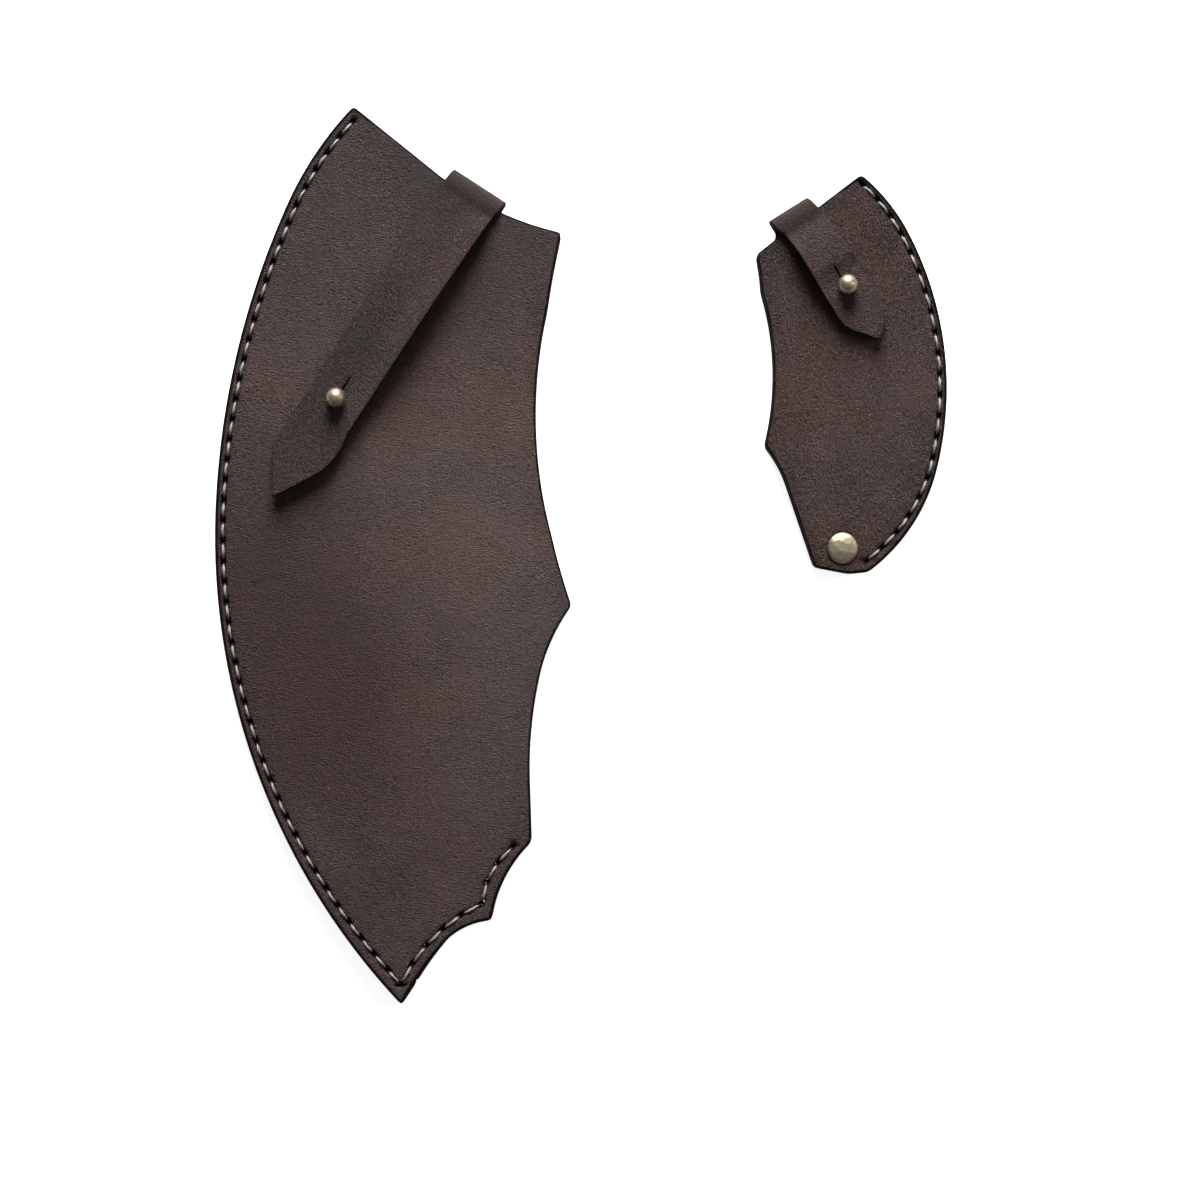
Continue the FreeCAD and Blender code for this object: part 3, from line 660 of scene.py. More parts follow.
class Graph:
    """A short way to write a material's nodes."""

    def __init__(self, name):
        self.material = bpy.data.materials.new(name)
        self.material.use_nodes = True
        self.tree = self.material.node_tree
        self.shader = self.tree.nodes["Principled BSDF"]

    def feed(self, socket, value):
        if isinstance(value, bpy.types.NodeSocket):
            self.tree.links.new(value, socket)
        else:
            socket.default_value = value

    def node(self, kind, inputs, output=0, **settings):
        made = self.tree.nodes.new("ShaderNode" + kind)
        for key, value in settings.items():
            setattr(made, key, value)
        for key, value in inputs.items():
            self.feed(made.inputs[key], value)
        return made.outputs[output]

    def mark(self, name, output="Fac"):
        return self.node("Attribute", {}, output, attribute_name=name)

    def math(self, operation, a, b, clamp):
        return self.node("Math", {0: a, 1: b}, operation=operation, use_clamp=clamp)

    def plus(self, a, b, clamp=False):
        return self.math("ADD", a, b, clamp)

    def minus(self, a, b, clamp=False):
        return self.math("SUBTRACT", a, b, clamp)

    def times(self, a, b, clamp=False):
        return self.math("MULTIPLY", a, b, clamp)

    def step(self, value, start, end, low=0.0, high=1.0):
        inputs = {"Value": value, "From Min": start, "From Max": end, "To Min": low}
        inputs["To Max"] = high
        return self.node("MapRange", inputs, interpolation_type="SMOOTHSTEP")

    def mix(self, part, a, b):
        return self.node("Mix", {0: part, 6: a, 7: b}, 2, data_type="RGBA")

    def stretch(self, vector, scale):
        return self.node("VectorMath", {0: vector, 1: scale}, operation="MULTIPLY")

    def noise(self, vector, scale, detail=2.0, roughness=0.5, distortion=0.0, output=0):
        inputs = {"Vector": vector, "Scale": scale, "Detail": detail}
        inputs.update({"Roughness": roughness, "Distortion": distortion})
        return self.node("TexNoise", inputs, output)

    def finish(self, **sockets):
        for key, value in sockets.items():
            self.feed(self.shader.inputs[key.replace("_", " ")], value)
        return self.material


def rgb(red, green, blue):
    return (red, green, blue, 1.0)


def leather_grain(g, flat):
    """Short wrinkles about a millimetre apart: small stretched cells with creases between."""
    warp = g.noise(flat, 0.8, 2.0, output="Color")
    warped = g.node("VectorMath", {0: flat, 1: warp, 2: (0.9, 0.9, 0.9)}, operation="ADD")
    cells = {"Vector": g.stretch(warped, (0.6, 1.3, 1.0)), "Scale": 1.45, "Randomness": 1.0}
    wrinkle = g.node("TexVoronoi", cells, "Distance", feature="DISTANCE_TO_EDGE")
    wrinkle = g.step(wrinkle, 0.0, 0.25)
    streak = g.noise(g.stretch(warped, (0.42, 1.4, 1.0)), 1.7, 2.0, 0.6)
    pores = g.noise(flat, 3.0, 2.0, 0.5)
    grain = g.times(wrinkle, 0.45)
    grain = g.plus(grain, g.times(streak, 1.9))
    grain = g.plus(grain, g.times(pores, 0.3))
    grain = g.minus(grain, 1.4)
    patches = g.step(g.noise(flat, 0.07, 2.0), 0.35, 0.65, 0.8, 1.2)
    grain = g.times(grain, patches)
    return g.times(grain, g.mark("coarse"))


def leather_material(name):
    """Drum-dyed, waxed leather: a fine wrinkled grain, mottling, and burnished edges."""
    g = Graph(name)
    flat = g.mark("flat", "Vector")
    edge = g.mark("edge")
    seam = g.mark("seam")
    slot = g.mark("slot")
    flesh = g.mark("flesh")
    crease_and_shade = g.mark("crease_and_shade")
    calm = g.minus(1.0, g.times(crease_and_shade, 0.4), clamp=True)
    grain = g.times(leather_grain(g, flat), calm)
    # Colour: mottled dye, lighter on the high grain (partly the grain's own tone, partly painted
    # highlight on the wrinkle ridges), redder where it is worn.
    mottle = g.step(g.noise(flat, 0.035, 4.0, 0.55, 0.4), 0.25, 0.75)
    cloud = g.noise(flat, 0.22, 3.0, 0.6)
    tone = g.plus(g.times(mottle, 0.4), g.times(cloud, 0.3))
    # The light mark raises or lowers the tone: partly the leather's own tone, partly painted
    # light and shade; on the strap it is its own darker tone with painted shade over the fold.
    tone = g.plus(tone, g.mark("light"))
    tone = g.plus(tone, g.times(grain, 1.15))
    # Darker within about 7 mm of every edge: partly a browner margin, partly painted shade where
    # the leather curves down to its edges.
    tone = g.plus(tone, g.step(edge, 1.0, 7.0, -0.05, 0.15), clamp=True)
    warm = g.step(g.noise(flat, 0.028, 3.0, 0.5, 0.6), 0.38, 0.62)
    low_dye = g.mix(warm, rgb(0.0170, 0.0098, 0.0092), rgb(0.0190, 0.0093, 0.0076))
    high_dye = g.mix(warm, rgb(0.0570, 0.0360, 0.0335), rgb(0.0640, 0.0345, 0.0275))
    colour = g.mix(tone, low_dye, high_dye)
    red = g.times(g.mark("red"), g.step(cloud, 0.3, 0.7, 0.5, 1.0), clamp=True)
    colour = g.mix(red, colour, rgb(0.026, 0.0078, 0.0066))
    # Over the strap's fold the colour turns darker and browner: partly the creased leather's own
    # colour, partly painted shade on the bend.
    fold_painted_shade = g.mix(cloud, rgb(0.010, 0.0050, 0.0038), rgb(0.018, 0.0092, 0.0068))
    colour = g.mix(g.times(crease_and_shade, 0.6, clamp=True), colour, fold_painted_shade)
    fleshy = g.noise(g.stretch(flat, (1.0, 0.4, 1.0)), 1.6, 5.0, 0.7)
    suede = g.mix(fleshy, rgb(0.060, 0.036, 0.022), rgb(0.150, 0.098, 0.062))
    colour = g.mix(flesh, colour, suede)
    # Burnished edges, and painted shade in the stitching groove and near black round each slot.
    ragged = g.times(g.minus(cloud, 0.5), 0.6)
    open_side = g.step(seam, 4.0, 6.5, 1.0, 1.6)
    rim = g.times(g.plus(edge, ragged), open_side)
    worn = g.step(rim, 0.6, 1.35, 1.0, 0.0)
    colour = g.mix(g.times(worn, 0.97), colour, rgb(0.0015, 0.0010, 0.0010))
    groove = g.step(seam, 0.3, 1.3, 0.25, 0.0)
    colour = g.mix(groove, colour, rgb(0.010, 0.0055, 0.0050))
    painted_slot_shade = g.step(slot, 1.1, 1.75, 0.97, 0.0)
    colour = g.mix(painted_slot_shade, colour, rgb(0.0020, 0.0014, 0.0014))
    shine = g.plus(g.times(grain, -0.15), 0.60)
    shine = g.plus(shine, g.times(flesh, 0.35))
    shine = g.plus(shine, g.times(crease_and_shade, 0.25))
    shine = g.plus(shine, g.times(worn, 0.25), clamp=True)
    height = g.plus(grain, g.times(fleshy, g.times(flesh, 1.2)))
    smooth = g.minus(1.0, g.times(worn, 0.8))
    bump = g.node("Bump", {"Strength": smooth, "Distance": 0.00048, "Height": height})
    gloss = g.step(worn, 0.0, 1.0, 0.25, 0.06)
    return g.finish(
        Base_Color=colour, Roughness=shine, Normal=bump, Specular_IOR_Level=gloss
    )


def thread_material():
    """Waxed linen thread, with painted shade between its strands and where it goes down into its
    holes.
    """
    g = Graph("waxed_linen")
    place = g.node("TexCoord", {}, "Object")
    place = g.stretch(place, (1000.0, 1000.0, 1000.0))
    dirt = g.noise(place, 0.45, 4.0, 0.6)
    fibre = g.noise(place, 5.0, 3.0, 0.6)
    lay = g.mark("lay")
    tone = g.plus(g.times(fibre, 0.5), g.times(dirt, 0.5))
    colour = g.mix(g.step(tone, 0.3, 0.7), rgb(0.13, 0.115, 0.10), rgb(0.29, 0.27, 0.25))
    # Painted shade in the grooves between the strands.
    colour = g.mix(g.step(lay, 0.0, 0.6, 0.6, 0.0), colour, rgb(0.028, 0.023, 0.020))
    # Painted shade where the thread sinks into its holes.
    colour = g.mix(g.step(g.mark("sunk"), 0.4, 0.9, 0.0, 0.96), colour, rgb(0.010, 0.006, 0.005))
    bump = g.node("Bump", {"Strength": 0.5, "Distance": 0.00004, "Height": fibre})
    return g.finish(Base_Color=colour, Roughness=0.62, Normal=bump)


def brass_material(name, bright, dark, rough, scuffed):
    """Aged brass: darker in patches and towards the rivet's rim, lighter where the rivet is
    rubbed. On the ball stud the lighter top and the darker underside and neck are painted sheen
    and shade.
    """
    g = Graph(name)
    place = g.node("TexCoord", {}, "Object")
    place = g.stretch(place, (1000.0, 1000.0, 1000.0))
    spots = g.noise(place, 0.9, 5.0, 0.65, 0.3)
    scratch = g.noise(g.stretch(place, (0.6, 4.0, 1.0)), 1.6, 4.0, 0.7)
    wear_and_sheen = g.mark("wear_and_sheen")
    # Lighter where the mark is high: rubbing on the rivet, painted sheen on the ball's top and
    # painted shade below it.
    age = g.plus(g.step(spots, 0.45, 0.72), g.times(wear_and_sheen, -0.6))
    colour = g.mix(g.plus(age, 0.35, clamp=True), bright, dark)
    shine = g.plus(g.times(spots, 0.25), rough)
    shine = g.plus(shine, g.times(scratch, 0.08))
    bump = g.node("Bump", {"Strength": scuffed, "Distance": 0.00002, "Height": scratch})
    g.shader.inputs["Metallic"].default_value = 1.0
    return g.finish(Base_Color=colour, Roughness=shine, Normal=bump)


def floor_material():
    """A white floor that glows a little, so that only close shadows show on it."""
    g = Graph("white_floor")
    g.shader.inputs["Emission Color"].default_value = rgb(1.0, 1.0, 1.0)
    g.shader.inputs["Emission Strength"].default_value = 0.82
    place = g.node("TexCoord", {}, "Object")
    speck = g.noise(place, 3.0, 2.0)
    colour = g.mix(speck, rgb(0.86, 0.86, 0.86), rgb(0.90, 0.90, 0.90))
    return g.finish(Base_Color=colour, Roughness=0.9)


LEATHER = leather_material("brown_leather")
THREAD = thread_material()
BALL_BRASS = brass_material(
    "ball_brass", rgb(0.36, 0.285, 0.20), rgb(0.14, 0.105, 0.075), rough=0.28, scuffed=0.1
)
RIVET_BRASS = brass_material(
    "rivet_brass", rgb(0.34, 0.29, 0.20), rgb(0.15, 0.125, 0.09), rough=0.34, scuffed=0.35
)


# ------------ leather pieces


def finish_piece(piece, material, slot, *nodes):
    """Gives a piece its material and hides the CAD nodes it stands for. The record's slot is not
    used.
    """
    piece.data.materials.append(material)
    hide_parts(*nodes)


class PatinaAndShade:
    """Where a cover is lighter, darker or redder than its dye: soft round patches. The redder
    ones are the leather's own colour; the lighter and darker ones are partly its own tone,
    partly painted light and shade across the panel.
    """

    def __init__(self, patches):
        self.patches = patches

    def __call__(self, points):
        light = np.zeros(len(points))
        red = np.zeros(len(points))
        for x, y, radius, lighter, redder in self.patches:
            near = np.exp(-((points - (x, y)) ** 2).sum(1) / radius**2)
            light += lighter * near
            red += redder * near
        return light, red


# Each patch: x, y, radius, how much lighter, how much redder.
LARGE_PATINA_AND_SHADE = PatinaAndShade(
    [
        (-30, 25, 42, 0.38, 0.0),
        (-62, 118, 45, -0.32, 0.05),
        (-20, 82, 22, -0.22, 0.05),
        (-100, -5, 28, -0.60, 0.60),
        (-80, -45, 30, -0.72, 1.0),
        (-55, -100, 26, 0.0, 0.40),
        (-18, -13, 24, 0.28, 0.0),
        (-40, -62, 30, 0.32, 0.10),
        (-72, 70, 26, 0.05, 0.15),
    ]
)
SMALL_PATINA_AND_SHADE = PatinaAndShade([(70, 45, 25, 0.10, 0.0), (90, 38, 48, 0.52, 0.0)])


def make_front(side, seam, look, rivet):
    """The front panel, with the stud's hole and its two seats."""
    node = f"{side}_front_panel"
    bottom, top = heights(node)
    stud = middle(f"{side}_stud")
    holes = [ellipse(stud, EAST, STUD_HOLE, STUD_HOLE, 24)]
    if rivet is not None:
        holes.append(ellipse(rivet, EAST, RIVET_HOLE, RIVET_HOLE, 24))
    seats = [ellipse(stud, EAST, r, r, 40) for r in (2.6, 3.35, 3.55, 4.0, 4.25, 4.7)]
    rows = [(np.vstack(seats), lambda p: norms(p - stud) < 5.5)]
    if rivet is not None:
        rings = [ellipse(rivet, EAST, r, r, 36) for r in (3.4, 4.2, 4.7, 5.2, 5.9)]
        rows.append((np.vstack(rings), lambda p: norms(p - rivet) < 6.6))
    plan = Plan(node_loops(node, bottom)[0], holes, seam, rows)
    move = swell(plan.points, look.swell_phase)
    move = (0.25 * move - 0.2) * smoothstep(plan.edge, 3.0, 16.0)
    high = top + move - rounding(plan.edge, EDGE_ROUND) - seam_dent(plan, 0.4)
    low = bottom + move + rounding(plan.edge, INNER_ROUND)
    from_stud = norms(plan.points - stud)
    calm = smoothstep(from_stud, 5.0, 12.0)
    high = top - (top - high) * calm
    low = bottom + (low - bottom) * calm
    high -= FLANGE_THICKNESS * (1 - smoothstep(from_stud, FLANGE_RADIUS, FLANGE_RADIUS + 0.12))
    low += SCREW_SEAT_DEPTH * (1 - smoothstep(from_stud, SCREW_SEAT - 0.05, SCREW_SEAT + 0.1))
    if rivet is not None:
        from_rivet = norms(plan.points - rivet)
        high -= 0.3 * (1 - smoothstep(from_rivet, 4.4, 6.2))
    marks = flat_marks(plan, 1.0, 0.0, look.grain_way, look.coarse, look.patina)
    piece = solid(f"{side}_front_leather", plan, low, high, stay_flat, marks)
    finish_piece(piece, LEATHER, "panel_leather", node)
    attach(piece, f"{side}_cover")


# The straps' own grain: how coarse it is, its tone, and how far off on the hide it lies.
STRAP_COARSE = 1.05
STRAP_LIGHT = -0.24
GRAIN_APART = 300


def turn_rows(bend):
    """Finer rows of points where the strap bends, and the test for grid points they replace."""
    out = np.arange(-0.5, bend.end + 7, 0.55)
    across = np.arange(-STRAP_HALF_WIDTH, STRAP_HALF_WIDTH, 1.15)
    out, across = (part.reshape(-1, 1) for part in np.meshgrid(out, across))
    turn = bend.root - out * bend.along + across * bend.across

    def near_turn(points):
        away, aside = bend.local(points)
        return (away > -1.2) & (away < bend.end + 7.6) & (np.abs(aside) < STRAP_HALF_WIDTH)

    return turn, near_turn


def back_marks(plan, bend, look):
    """The back leather's marks, with the strap's own grain and colour, and painted shade over
    its creased fold.
    """
    marks = flat_marks(plan, 0.0, 1.0, look.grain_way, look.coarse, look.patina)
    strap = bend.on_strap(plan.points)
    away, aside = bend.local(plan.points)
    x, y = look.strap_way
    turned = np.column_stack([away, aside]) @ np.array([[x, -y], [y, x]])
    flat = marks["flat"][0].copy()
    flat[strap, :2] = turned[strap] + GRAIN_APART
    marks["flat"] = (flat, flat + [0, 0, 40])
    along = bend.along_strap(plan.points)
    crease_and_shade = smoothstep(away, 0, 3) * (1 - smoothstep(along, 0.9, 3.6)) * strap
    marks["crease_and_shade"] = (crease_and_shade, np.zeros(len(plan.points)))
    # Over the fold the strap's tone is lowered too: painted shade on the bend.
    own = {
        "edge": 4.0 * marks["edge"][0],
        "coarse": STRAP_COARSE,
        "light": STRAP_LIGHT + look.fold_tone * crease_and_shade,
        "red": 0.0,
    }
    for mark, value in own.items():
        kept = np.where(strap, value, marks[mark][0])
        marks[mark] = (kept, kept)
    return marks


def make_back(side, seam, bend, look, rivet):
    """The back panel, fold and strap: one leather, drawn unrolled and then bent."""
    outline, holes = unrolled_outline(side, bend)
    holes = [close_slit(redraw(holes[0], 0.45, rounds=1), bend, look.slit_shift)]
    rows = [turn_rows(bend)]
    if rivet is not None:
        holes.append(ellipse(rivet, EAST, RIVET_HOLE, RIVET_HOLE, 24))
        rings = [ellipse(rivet, EAST, RIVET_BASE + r, RIVET_BASE + r, 40) for r in (-0.1, 0.1)]
        rows.append((np.vstack(rings), lambda p: norms(p - rivet) < 5.2))
    plan = Plan(outline, holes, seam, rows, grid=2.0)
    strap = bend.on_strap(plan.points)
    radius = np.where(strap, STRAP_ROUND, EDGE_ROUND)
    edge = np.minimum(plan.edge, plan.hole)
    grain = rounding(edge, 1.0) * radius + seam_dent(plan, 0.7)
    grain = np.where(strap, rounding(edge / radius, 1.0) * radius, grain)
    flesh = THICKNESS - rounding(plan.edge, INNER_ROUND)
    if rivet is not None:
        from_rivet = norms(plan.points - rivet)
        grain += 0.85 * (1 - smoothstep(from_rivet, RIVET_BASE - 0.05, RIVET_BASE + 0.05))
    marks = back_marks(plan, bend, look)
    piece = solid(f"{side}_back_leather", plan, grain, flesh, bend, marks)
    nodes = [f"{side}_back_panel", f"{side}_strap_fold", f"{side}_strap"]
    finish_piece(piece, LEATHER, "panel_leather", *nodes)
    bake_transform(piece)


def make_spacer(node, seam, rivet=None):
    """A welt or spacer between the panels."""
    bottom, top = heights(node)
    holes = []
    if rivet is not None:
        holes = [ellipse(rivet, EAST, RIVET_HOLE, RIVET_HOLE, 24)]
    plan = Plan(node_loops(node, bottom)[0], holes, seam, grid=0, wide_slots=True)
    edge = rounding(plan.edge, 0.12)
    count = len(plan.points)
    low = np.full(count, bottom) + edge
    high = np.full(count, top) - edge
    marks = flat_marks(plan, 1.0, 1.0, (1.0, 0.0))
    piece = solid(node + "_leather", plan, low, high, stay_flat, marks)
    finish_piece(piece, LEATHER, "welt_leather", node)
    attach(piece, node.split("_")[0] + "_cover")


# ------------ thread


def thread_points(seam, starts_in_front, front, back):
    """The path of one needle's thread: over and under in turn, down or up at every hole."""
    middle_level = (front + back) / 2
    path = []
    for index in range(len(seam.holes) - 1):
        here, there = seam.holes[index], seam.holes[index + 1]
        length = np.linalg.norm(there - here)
        way = (there - here) / length
        side = np.array([-way[1], way[0]])
        in_front = (index % 2 == 0) == starts_in_front
        face = front if in_front else back
        inward = -1 if in_front else 1
        drift = 0.06 * math.sin(index * 2.3 + starts_in_front)
        aside = 0.42 if starts_in_front else -0.42
        dive = (
            (0.4, 0.1 * aside, 2.2),
            (0.85, 0.0, 1.35),
            (1.35, 0.0, 0.8),
            (1.85, 0.0, 0.3),
            (2.4, drift, 0.0),
        )
        stations = [(0.0, aside, middle_level)]
        stations += [(along, across, face + inward * deep) for along, across, deep in dive]
        stations.append((length / 2, drift * 1.5, face - inward * 0.15))
        stations += [
            (length - along, across, face + inward * deep)
            for along, across, deep in reversed(dive)
        ]
        for along, across, level in stations:
            plan = here + along * way + across * side
            path.append((plan[0], plan[1], level))
    last = seam.holes[-1]
    path.append((last[0], last[1], middle_level))
    return np.array(path)


def bands(rings, sides):
    """The corners of each quad between rings of points: two on a ring, two on the next."""
    for start in range(0, (rings - 1) * sides, sides):
        for i in range(sides):
            here = start + i
            beyond = start + (i + 1) % sides
            yield here, beyond, here + sides, beyond + sides


def sweep_thread(path, strands=3, lay=3.4, sides=12):
    """A twisted thread along a path: its points, faces and how deep each point lies."""
    line = through(path, 0.38)
    way = np.gradient(line, axis=0)
    way /= norms(way)[:, None]
    place = np.concatenate([[0], np.cumsum(norms(np.diff(line, axis=0)))])
    normal = np.zeros_like(line)
    current = np.array([0.3, 0.8, 0.1])
    for index, forward in enumerate(way):
        current = current - (current @ forward) * forward
        current /= np.linalg.norm(current)
        normal[index] = current
    binormal = np.cross(way, normal)
    angle = np.linspace(0, 2 * math.pi, sides, endpoint=False)
    turn = 2 * math.pi * place[:, None] / lay / strands
    ridge = np.cos(strands * (angle - turn))
    radius = THREAD_RADIUS * (0.87 + 0.13 * ridge)
    points = (
        line[:, None]
        + (radius * np.cos(angle))[..., None] * normal[:, None]
        + (radius * np.sin(angle))[..., None] * binormal[:, None]
    )
    faces = [(a, b, d, c) for a, b, c, d in bands(len(line), sides)]
    last = (len(line) - 1) * sides
    faces.append(tuple(range(sides))[::-1])
    faces.append(tuple(range(last, last + sides)))
    return points.reshape(-1, 3), faces, (ridge.ravel() + 1) / 2


def make_thread(side, seam):
    """The two threads of the saddle stitch, which pass each other in every hole."""
    front = heights(f"{side}_front_panel")[1] - 0.2
    back = 0.55
    points, faces, depth = [], [], []
    count = 0
    for starts_in_front in (True, False):
        swept = sweep_thread(thread_points(seam, starts_in_front, front, back))
        points.append(swept[0])
        faces += [tuple(count + i for i in face) for face in swept[1]]
        depth.append(swept[2])
        count += len(swept[0])
    points = np.vstack(points)
    sunk = np.minimum(np.abs(points[:, 2] - front), np.abs(points[:, 2] - back))
    marks = {"lay": np.concatenate(depth), "sunk": sunk}
    piece = make_mesh(f"{side}_saddle_stitch", points, faces, marks)
    finish_piece(piece, THREAD, "waxed_thread", f"{side}_seam_thread")
    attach(piece, f"{side}_cover")


# ------------ brass pieces


def lathe(name, profile, centre, wear_and_sheen, segments=56):
    """A turned piece: its profile gives radius and height, from the top pole to the last."""
    points = []
    angle = np.linspace(0, 2 * math.pi, segments, endpoint=False)
    for radius, height in profile:
        ring = np.column_stack(
            [radius * np.cos(angle), radius * np.sin(angle), np.full(segments, height)]
        )
        points.append(ring)
    faces = [(a, c, d, b) for a, b, c, d in bands(len(profile), segments)]
    first = len(profile) * segments
    points.append(np.array([[0, 0, profile[0][1]], [0, 0, profile[-1][1]]]))
    last = (len(profile) - 1) * segments
    for i in range(segments):
        j = (i + 1) % segments
        faces.append((first, i, j))
        faces.append((first + 1, last + j, last + i))
    points = np.vstack(points)
    points[:, :2] += centre
    return make_mesh(name, points, faces, {"wear_and_sheen": wear_and_sheen(points)})


def arc(centre_radius, centre_height, radius, start, end, count):
    """Part of a turned profile: an arc from one angle to another, measured from straight up."""
    angles = np.radians(np.linspace(start, end, count))
    return [
        (centre_radius + radius * math.sin(a), centre_height + radius * math.cos(a))
        for a in angles
    ]


def make_stud(side):
    """The ball stud: ball, waisted neck and flange."""
    node = f"{side}_stud"
    bottom, top = heights(node)
    ball = top - BALL_RADIUS
    flange_top = bottom + FLANGE_THICKNESS
    profile = arc(0, ball, BALL_RADIUS, 2, 146, 40)
    profile += [(NECK_RADIUS, ball - 2.75), (NECK_RADIUS, flange_top + 0.5)]
    profile += arc(NECK_RADIUS + 0.4, flange_top + 0.4, 0.4, 270, 182, 5)
    profile += arc(FLANGE_RADIUS - 0.15, flange_top - 0.15, 0.15, 0, 90, 5)
    profile += [(FLANGE_RADIUS, bottom + 0.1), (FLANGE_RADIUS - 0.1, bottom), (1.3, bottom)]

    # The ball is lighter on top and darker below: painted sheen and shade.
    def wear_and_sheen(points):
        return smoothstep(points[:, 2], ball - 2.5, ball + 1.5)

    piece = lathe(f"{side}_ball_stud", profile, middle(node), wear_and_sheen)
    finish_piece(piece, BALL_BRASS, "stud_brass", node)
    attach(piece, f"{side}_cover")
    for slot in frame["nodes"][f"{side}_stud_screw"].material_slots:
        slot.material = RIVET_BRASS


def make_rivet(centre):
    """The hammered rivet cap with its post, and the flat base in the back panel."""
    bottom, top = heights("small_rivet_cap")
    radius = half_width("small_rivet_cap")
    seat = heights("small_front_panel")[1] - 0.25
    rim_height = 0.75
    dome = [
        (radius * part * 0.94, top - (top - seat - rim_height - 0.15) * part**2.4)
        for part in np.linspace(0.03, 1.0, 26)
    ]
    profile = dome + arc(radius - 0.35, seat + 0.45, 0.35, 35, 120, 6)
    profile += [(radius - 0.3, seat), (2.1, seat), (1.9, seat - 0.3), (1.9, bottom)]

    def wear_and_sheen(points):
        return smoothstep(norms(points[:, :2] - centre), 4.9, 3.0)

    cap = lathe("small_rivet_head", profile, centre, wear_and_sheen, segments=72)
    hammer(cap, centre, radius, seat + rim_height)
    finish_piece(cap, RIVET_BRASS, "rivet_brass", "small_rivet_cap")
    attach(cap, "small_cover")
    low, high = heights("small_rivet_base")
    wide = half_width("small_rivet_base")
    profile = [(1.2, high), (1.3, high - 0.1), (1.3, low + 0.9), (wide - 0.2, low + 0.8)]
    profile += arc(wide - 0.2, low + 0.6, 0.2, 20, 90, 4)
    profile += arc(wide - 0.25, low + 0.27, 0.25, 100, 180, 5)
    profile += [(wide * 0.6, low + 0.06), (wide * 0.25, low + 0.1)]
    base = lathe("small_rivet_foot", profile, centre, wear_and_sheen)
    finish_piece(base, RIVET_BRASS, "rivet_brass", "small_rivet_base")
    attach(base, "small_cover")


def hammer(piece, centre, radius, above):
    """Dents the cap's face with shallow round blows."""
    random = np.random.default_rng(7)
    blows = random.uniform(-radius, radius, (26, 2)) + centre
    points = np.array([v.co for v in piece.data.vertices]) / MM
    gap = np.sort(norms(points[:, None, :2] - blows), axis=1)
    struck = points[:, 2] > above - 0.2
    dent = 0.09 * np.clip(1 - (gap[:, 0] / 1.5) ** 2, 0, 1)
    points[:, 2] -= np.where(struck, dent, 0)
    piece.data.vertices.foreach_set("co", (points * MM).astype(np.float32).ravel())


# ------------ the two covers


def unit(degrees):
    """A way in plan, measured anticlockwise from +X."""
    return np.array([math.cos(math.radians(degrees)), math.sin(math.radians(degrees))])


LOOKS = {
    "large": SimpleNamespace(
        bend={"lean": 0.5, "bow": 2.4, "raised_side": 1, "roll": 2.2, "lift": 1.0},
        grain_way=unit(-8),
        strap_way=unit(62),
        coarse=0.75,
        patina=LARGE_PATINA_AND_SHADE,
        swell_phase=0.4,
        slit_shift=0.2,
        fold_tone=-0.35,
        welts=("edge_welt_upper", "edge_welt_lower", "heel_welt_upper", "heel_welt_lower"),
    ),
    "small": SimpleNamespace(
        bend={"lean": -1.2, "bow": 1.9, "raised_side": -1, "roll": 3.9, "lift": 1.4},
        grain_way=unit(80),
        strap_way=unit(40),
        coarse=1.25,
        patina=SMALL_PATINA_AND_SHADE,
        swell_phase=2.0,
        slit_shift=-0.4,
        fold_tone=-0.9,
        welts=("edge_welt_upper", "edge_welt_lower"),
    ),
}


def make_cover(side, rivet=None):
    """One cover: two panels, the layers between them, the thread, the stud and any rivet."""
    look = LOOKS[side]
    seam = Seam(f"{side}_front_panel", heights(f"{side}_front_panel")[0])
    bend = Bend(side, heights("large_strap")[1], **look.bend)
    make_front(side, seam, look, rivet)
    make_back(side, seam, bend, look, rivet)
    for welt in look.welts:
        make_spacer(f"{side}_{welt}", seam)
    if rivet is not None:
        for layer in ("upper", "lower"):
            make_spacer(f"{side}_corner_spacer_{layer}", None, rivet)
    make_thread(side, seam)
    make_stud(side)
    if rivet is not None:
        make_rivet(rivet)


# ------------ floor, light and camera

VIEW_CENTRE = (5.55, -13.3)
VIEW_WIDTH = 360.0
VIEW_HEIGHT = 940.0
SENSOR = 36.0


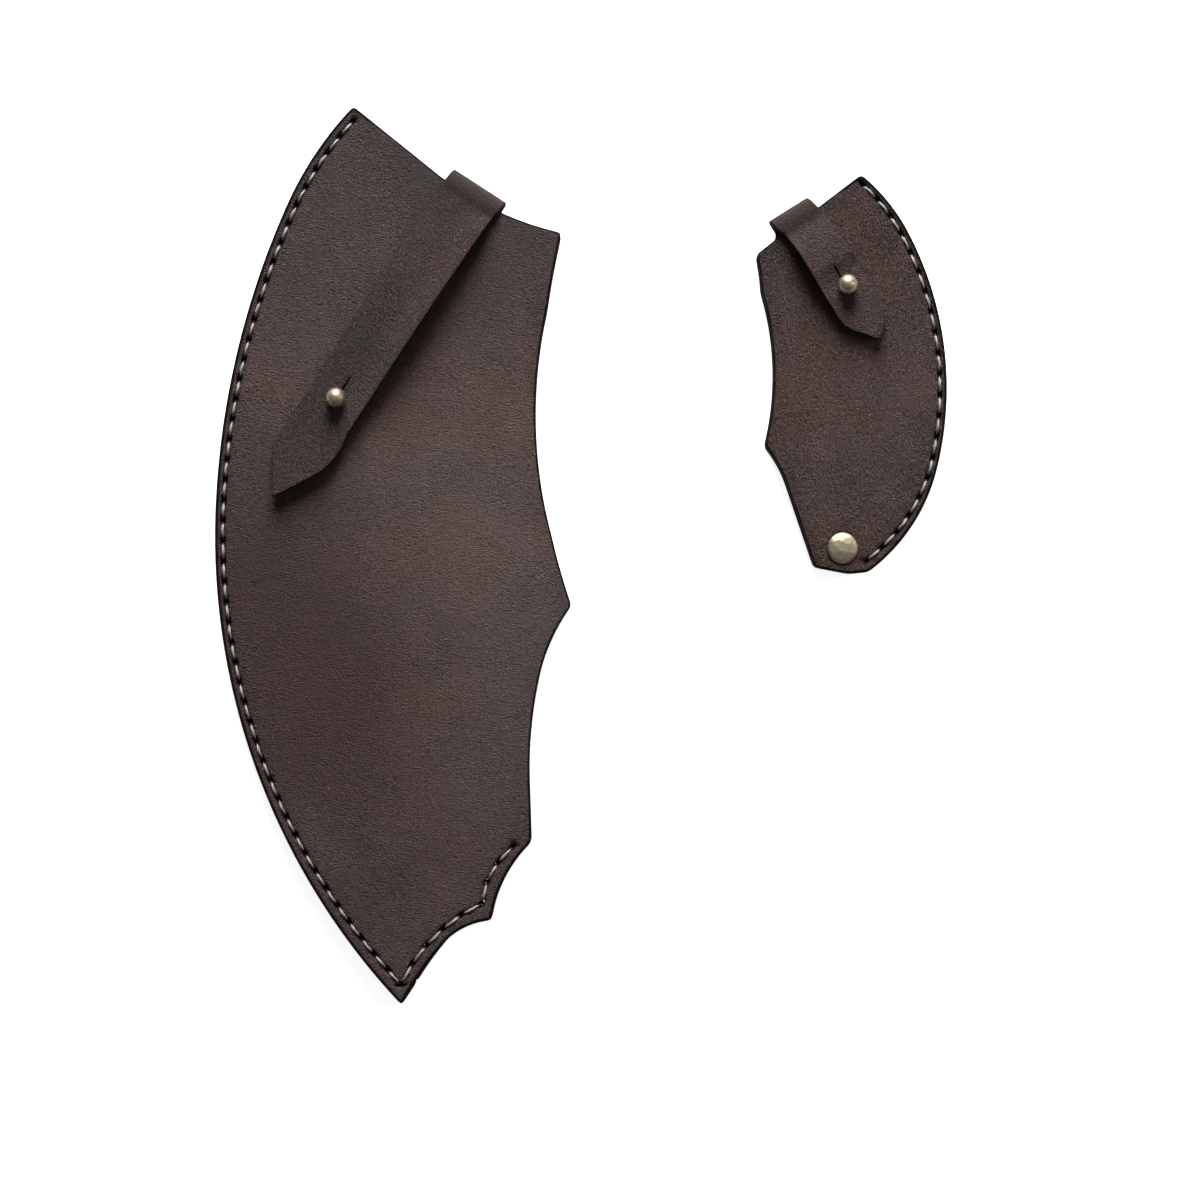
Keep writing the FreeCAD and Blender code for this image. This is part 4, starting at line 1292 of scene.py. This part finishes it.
def make_floor():
    side = 3000.0
    corners = [(-side, -side), (side, -side), (side, side), (-side, side)]
    points = np.array([(x, y, -0.06) for x, y in corners])
    floor = make_mesh("floor", points, [(0, 1, 2, 3)], {})
    floor.data.materials.append(floor_material())


def make_softbox(name, place, size, power):
    """A square area light that faces the middle of the pair."""
    light = bpy.data.lights.new(name, "AREA")
    light.shape = "SQUARE"
    light.size = size * MM
    light.energy = power
    lamp = bpy.data.objects.new(name, light)
    lamp.location = Vector(place) * MM
    aim = Vector((VIEW_CENTRE[0], VIEW_CENTRE[1], 0)) * MM - lamp.location
    lamp.rotation_euler = aim.to_track_quat("-Z", "Y").to_euler()
    bpy.context.scene.collection.objects.link(lamp)


def make_world():
    """A studio that is bright overhead and dark round the horizon."""
    world = bpy.data.worlds.new("studio")
    world.use_nodes = True
    tree = world.node_tree
    way = tree.nodes.new("ShaderNodeTexCoord")
    split = tree.nodes.new("ShaderNodeSeparateXYZ")
    fade = tree.nodes.new("ShaderNodeMapRange")
    fade.interpolation_type = "SMOOTHSTEP"
    limits = {"From Min": 0.45, "From Max": 0.9, "To Min": 0.07, "To Max": 0.30}
    for name, limit in limits.items():
        fade.inputs[name].default_value = limit
    background = tree.nodes["Background"]
    tree.links.new(way.outputs["Generated"], split.inputs[0])
    tree.links.new(split.outputs["Z"], fade.inputs["Value"])
    tree.links.new(fade.outputs[0], background.inputs["Strength"])
    background.inputs["Color"].default_value = rgb(1.0, 1.0, 1.0)
    bpy.context.scene.world = world


def make_camera():
    camera = bpy.data.cameras.new("camera")
    camera.sensor_width = SENSOR
    level = heights("large_front_panel")[1]
    camera.lens = SENSOR * VIEW_HEIGHT / VIEW_WIDTH
    camera.clip_end = 20
    seen = bpy.data.objects.new("camera", camera)
    seen.location = Vector((*VIEW_CENTRE, level + VIEW_HEIGHT)) * MM
    bpy.context.scene.collection.objects.link(seen)
    bpy.context.scene.camera = seen


make_cover("large")
make_cover("small", middle("small_rivet_cap"))
make_floor()
make_softbox("key", (20.0, 1450.0, 700.0), 800.0, 84.0)
make_softbox("side", (700.0, 160.0, 460.0), 200.0, 1.5)
make_world()
make_camera()
bpy.context.scene.view_settings.view_transform = "Standard"
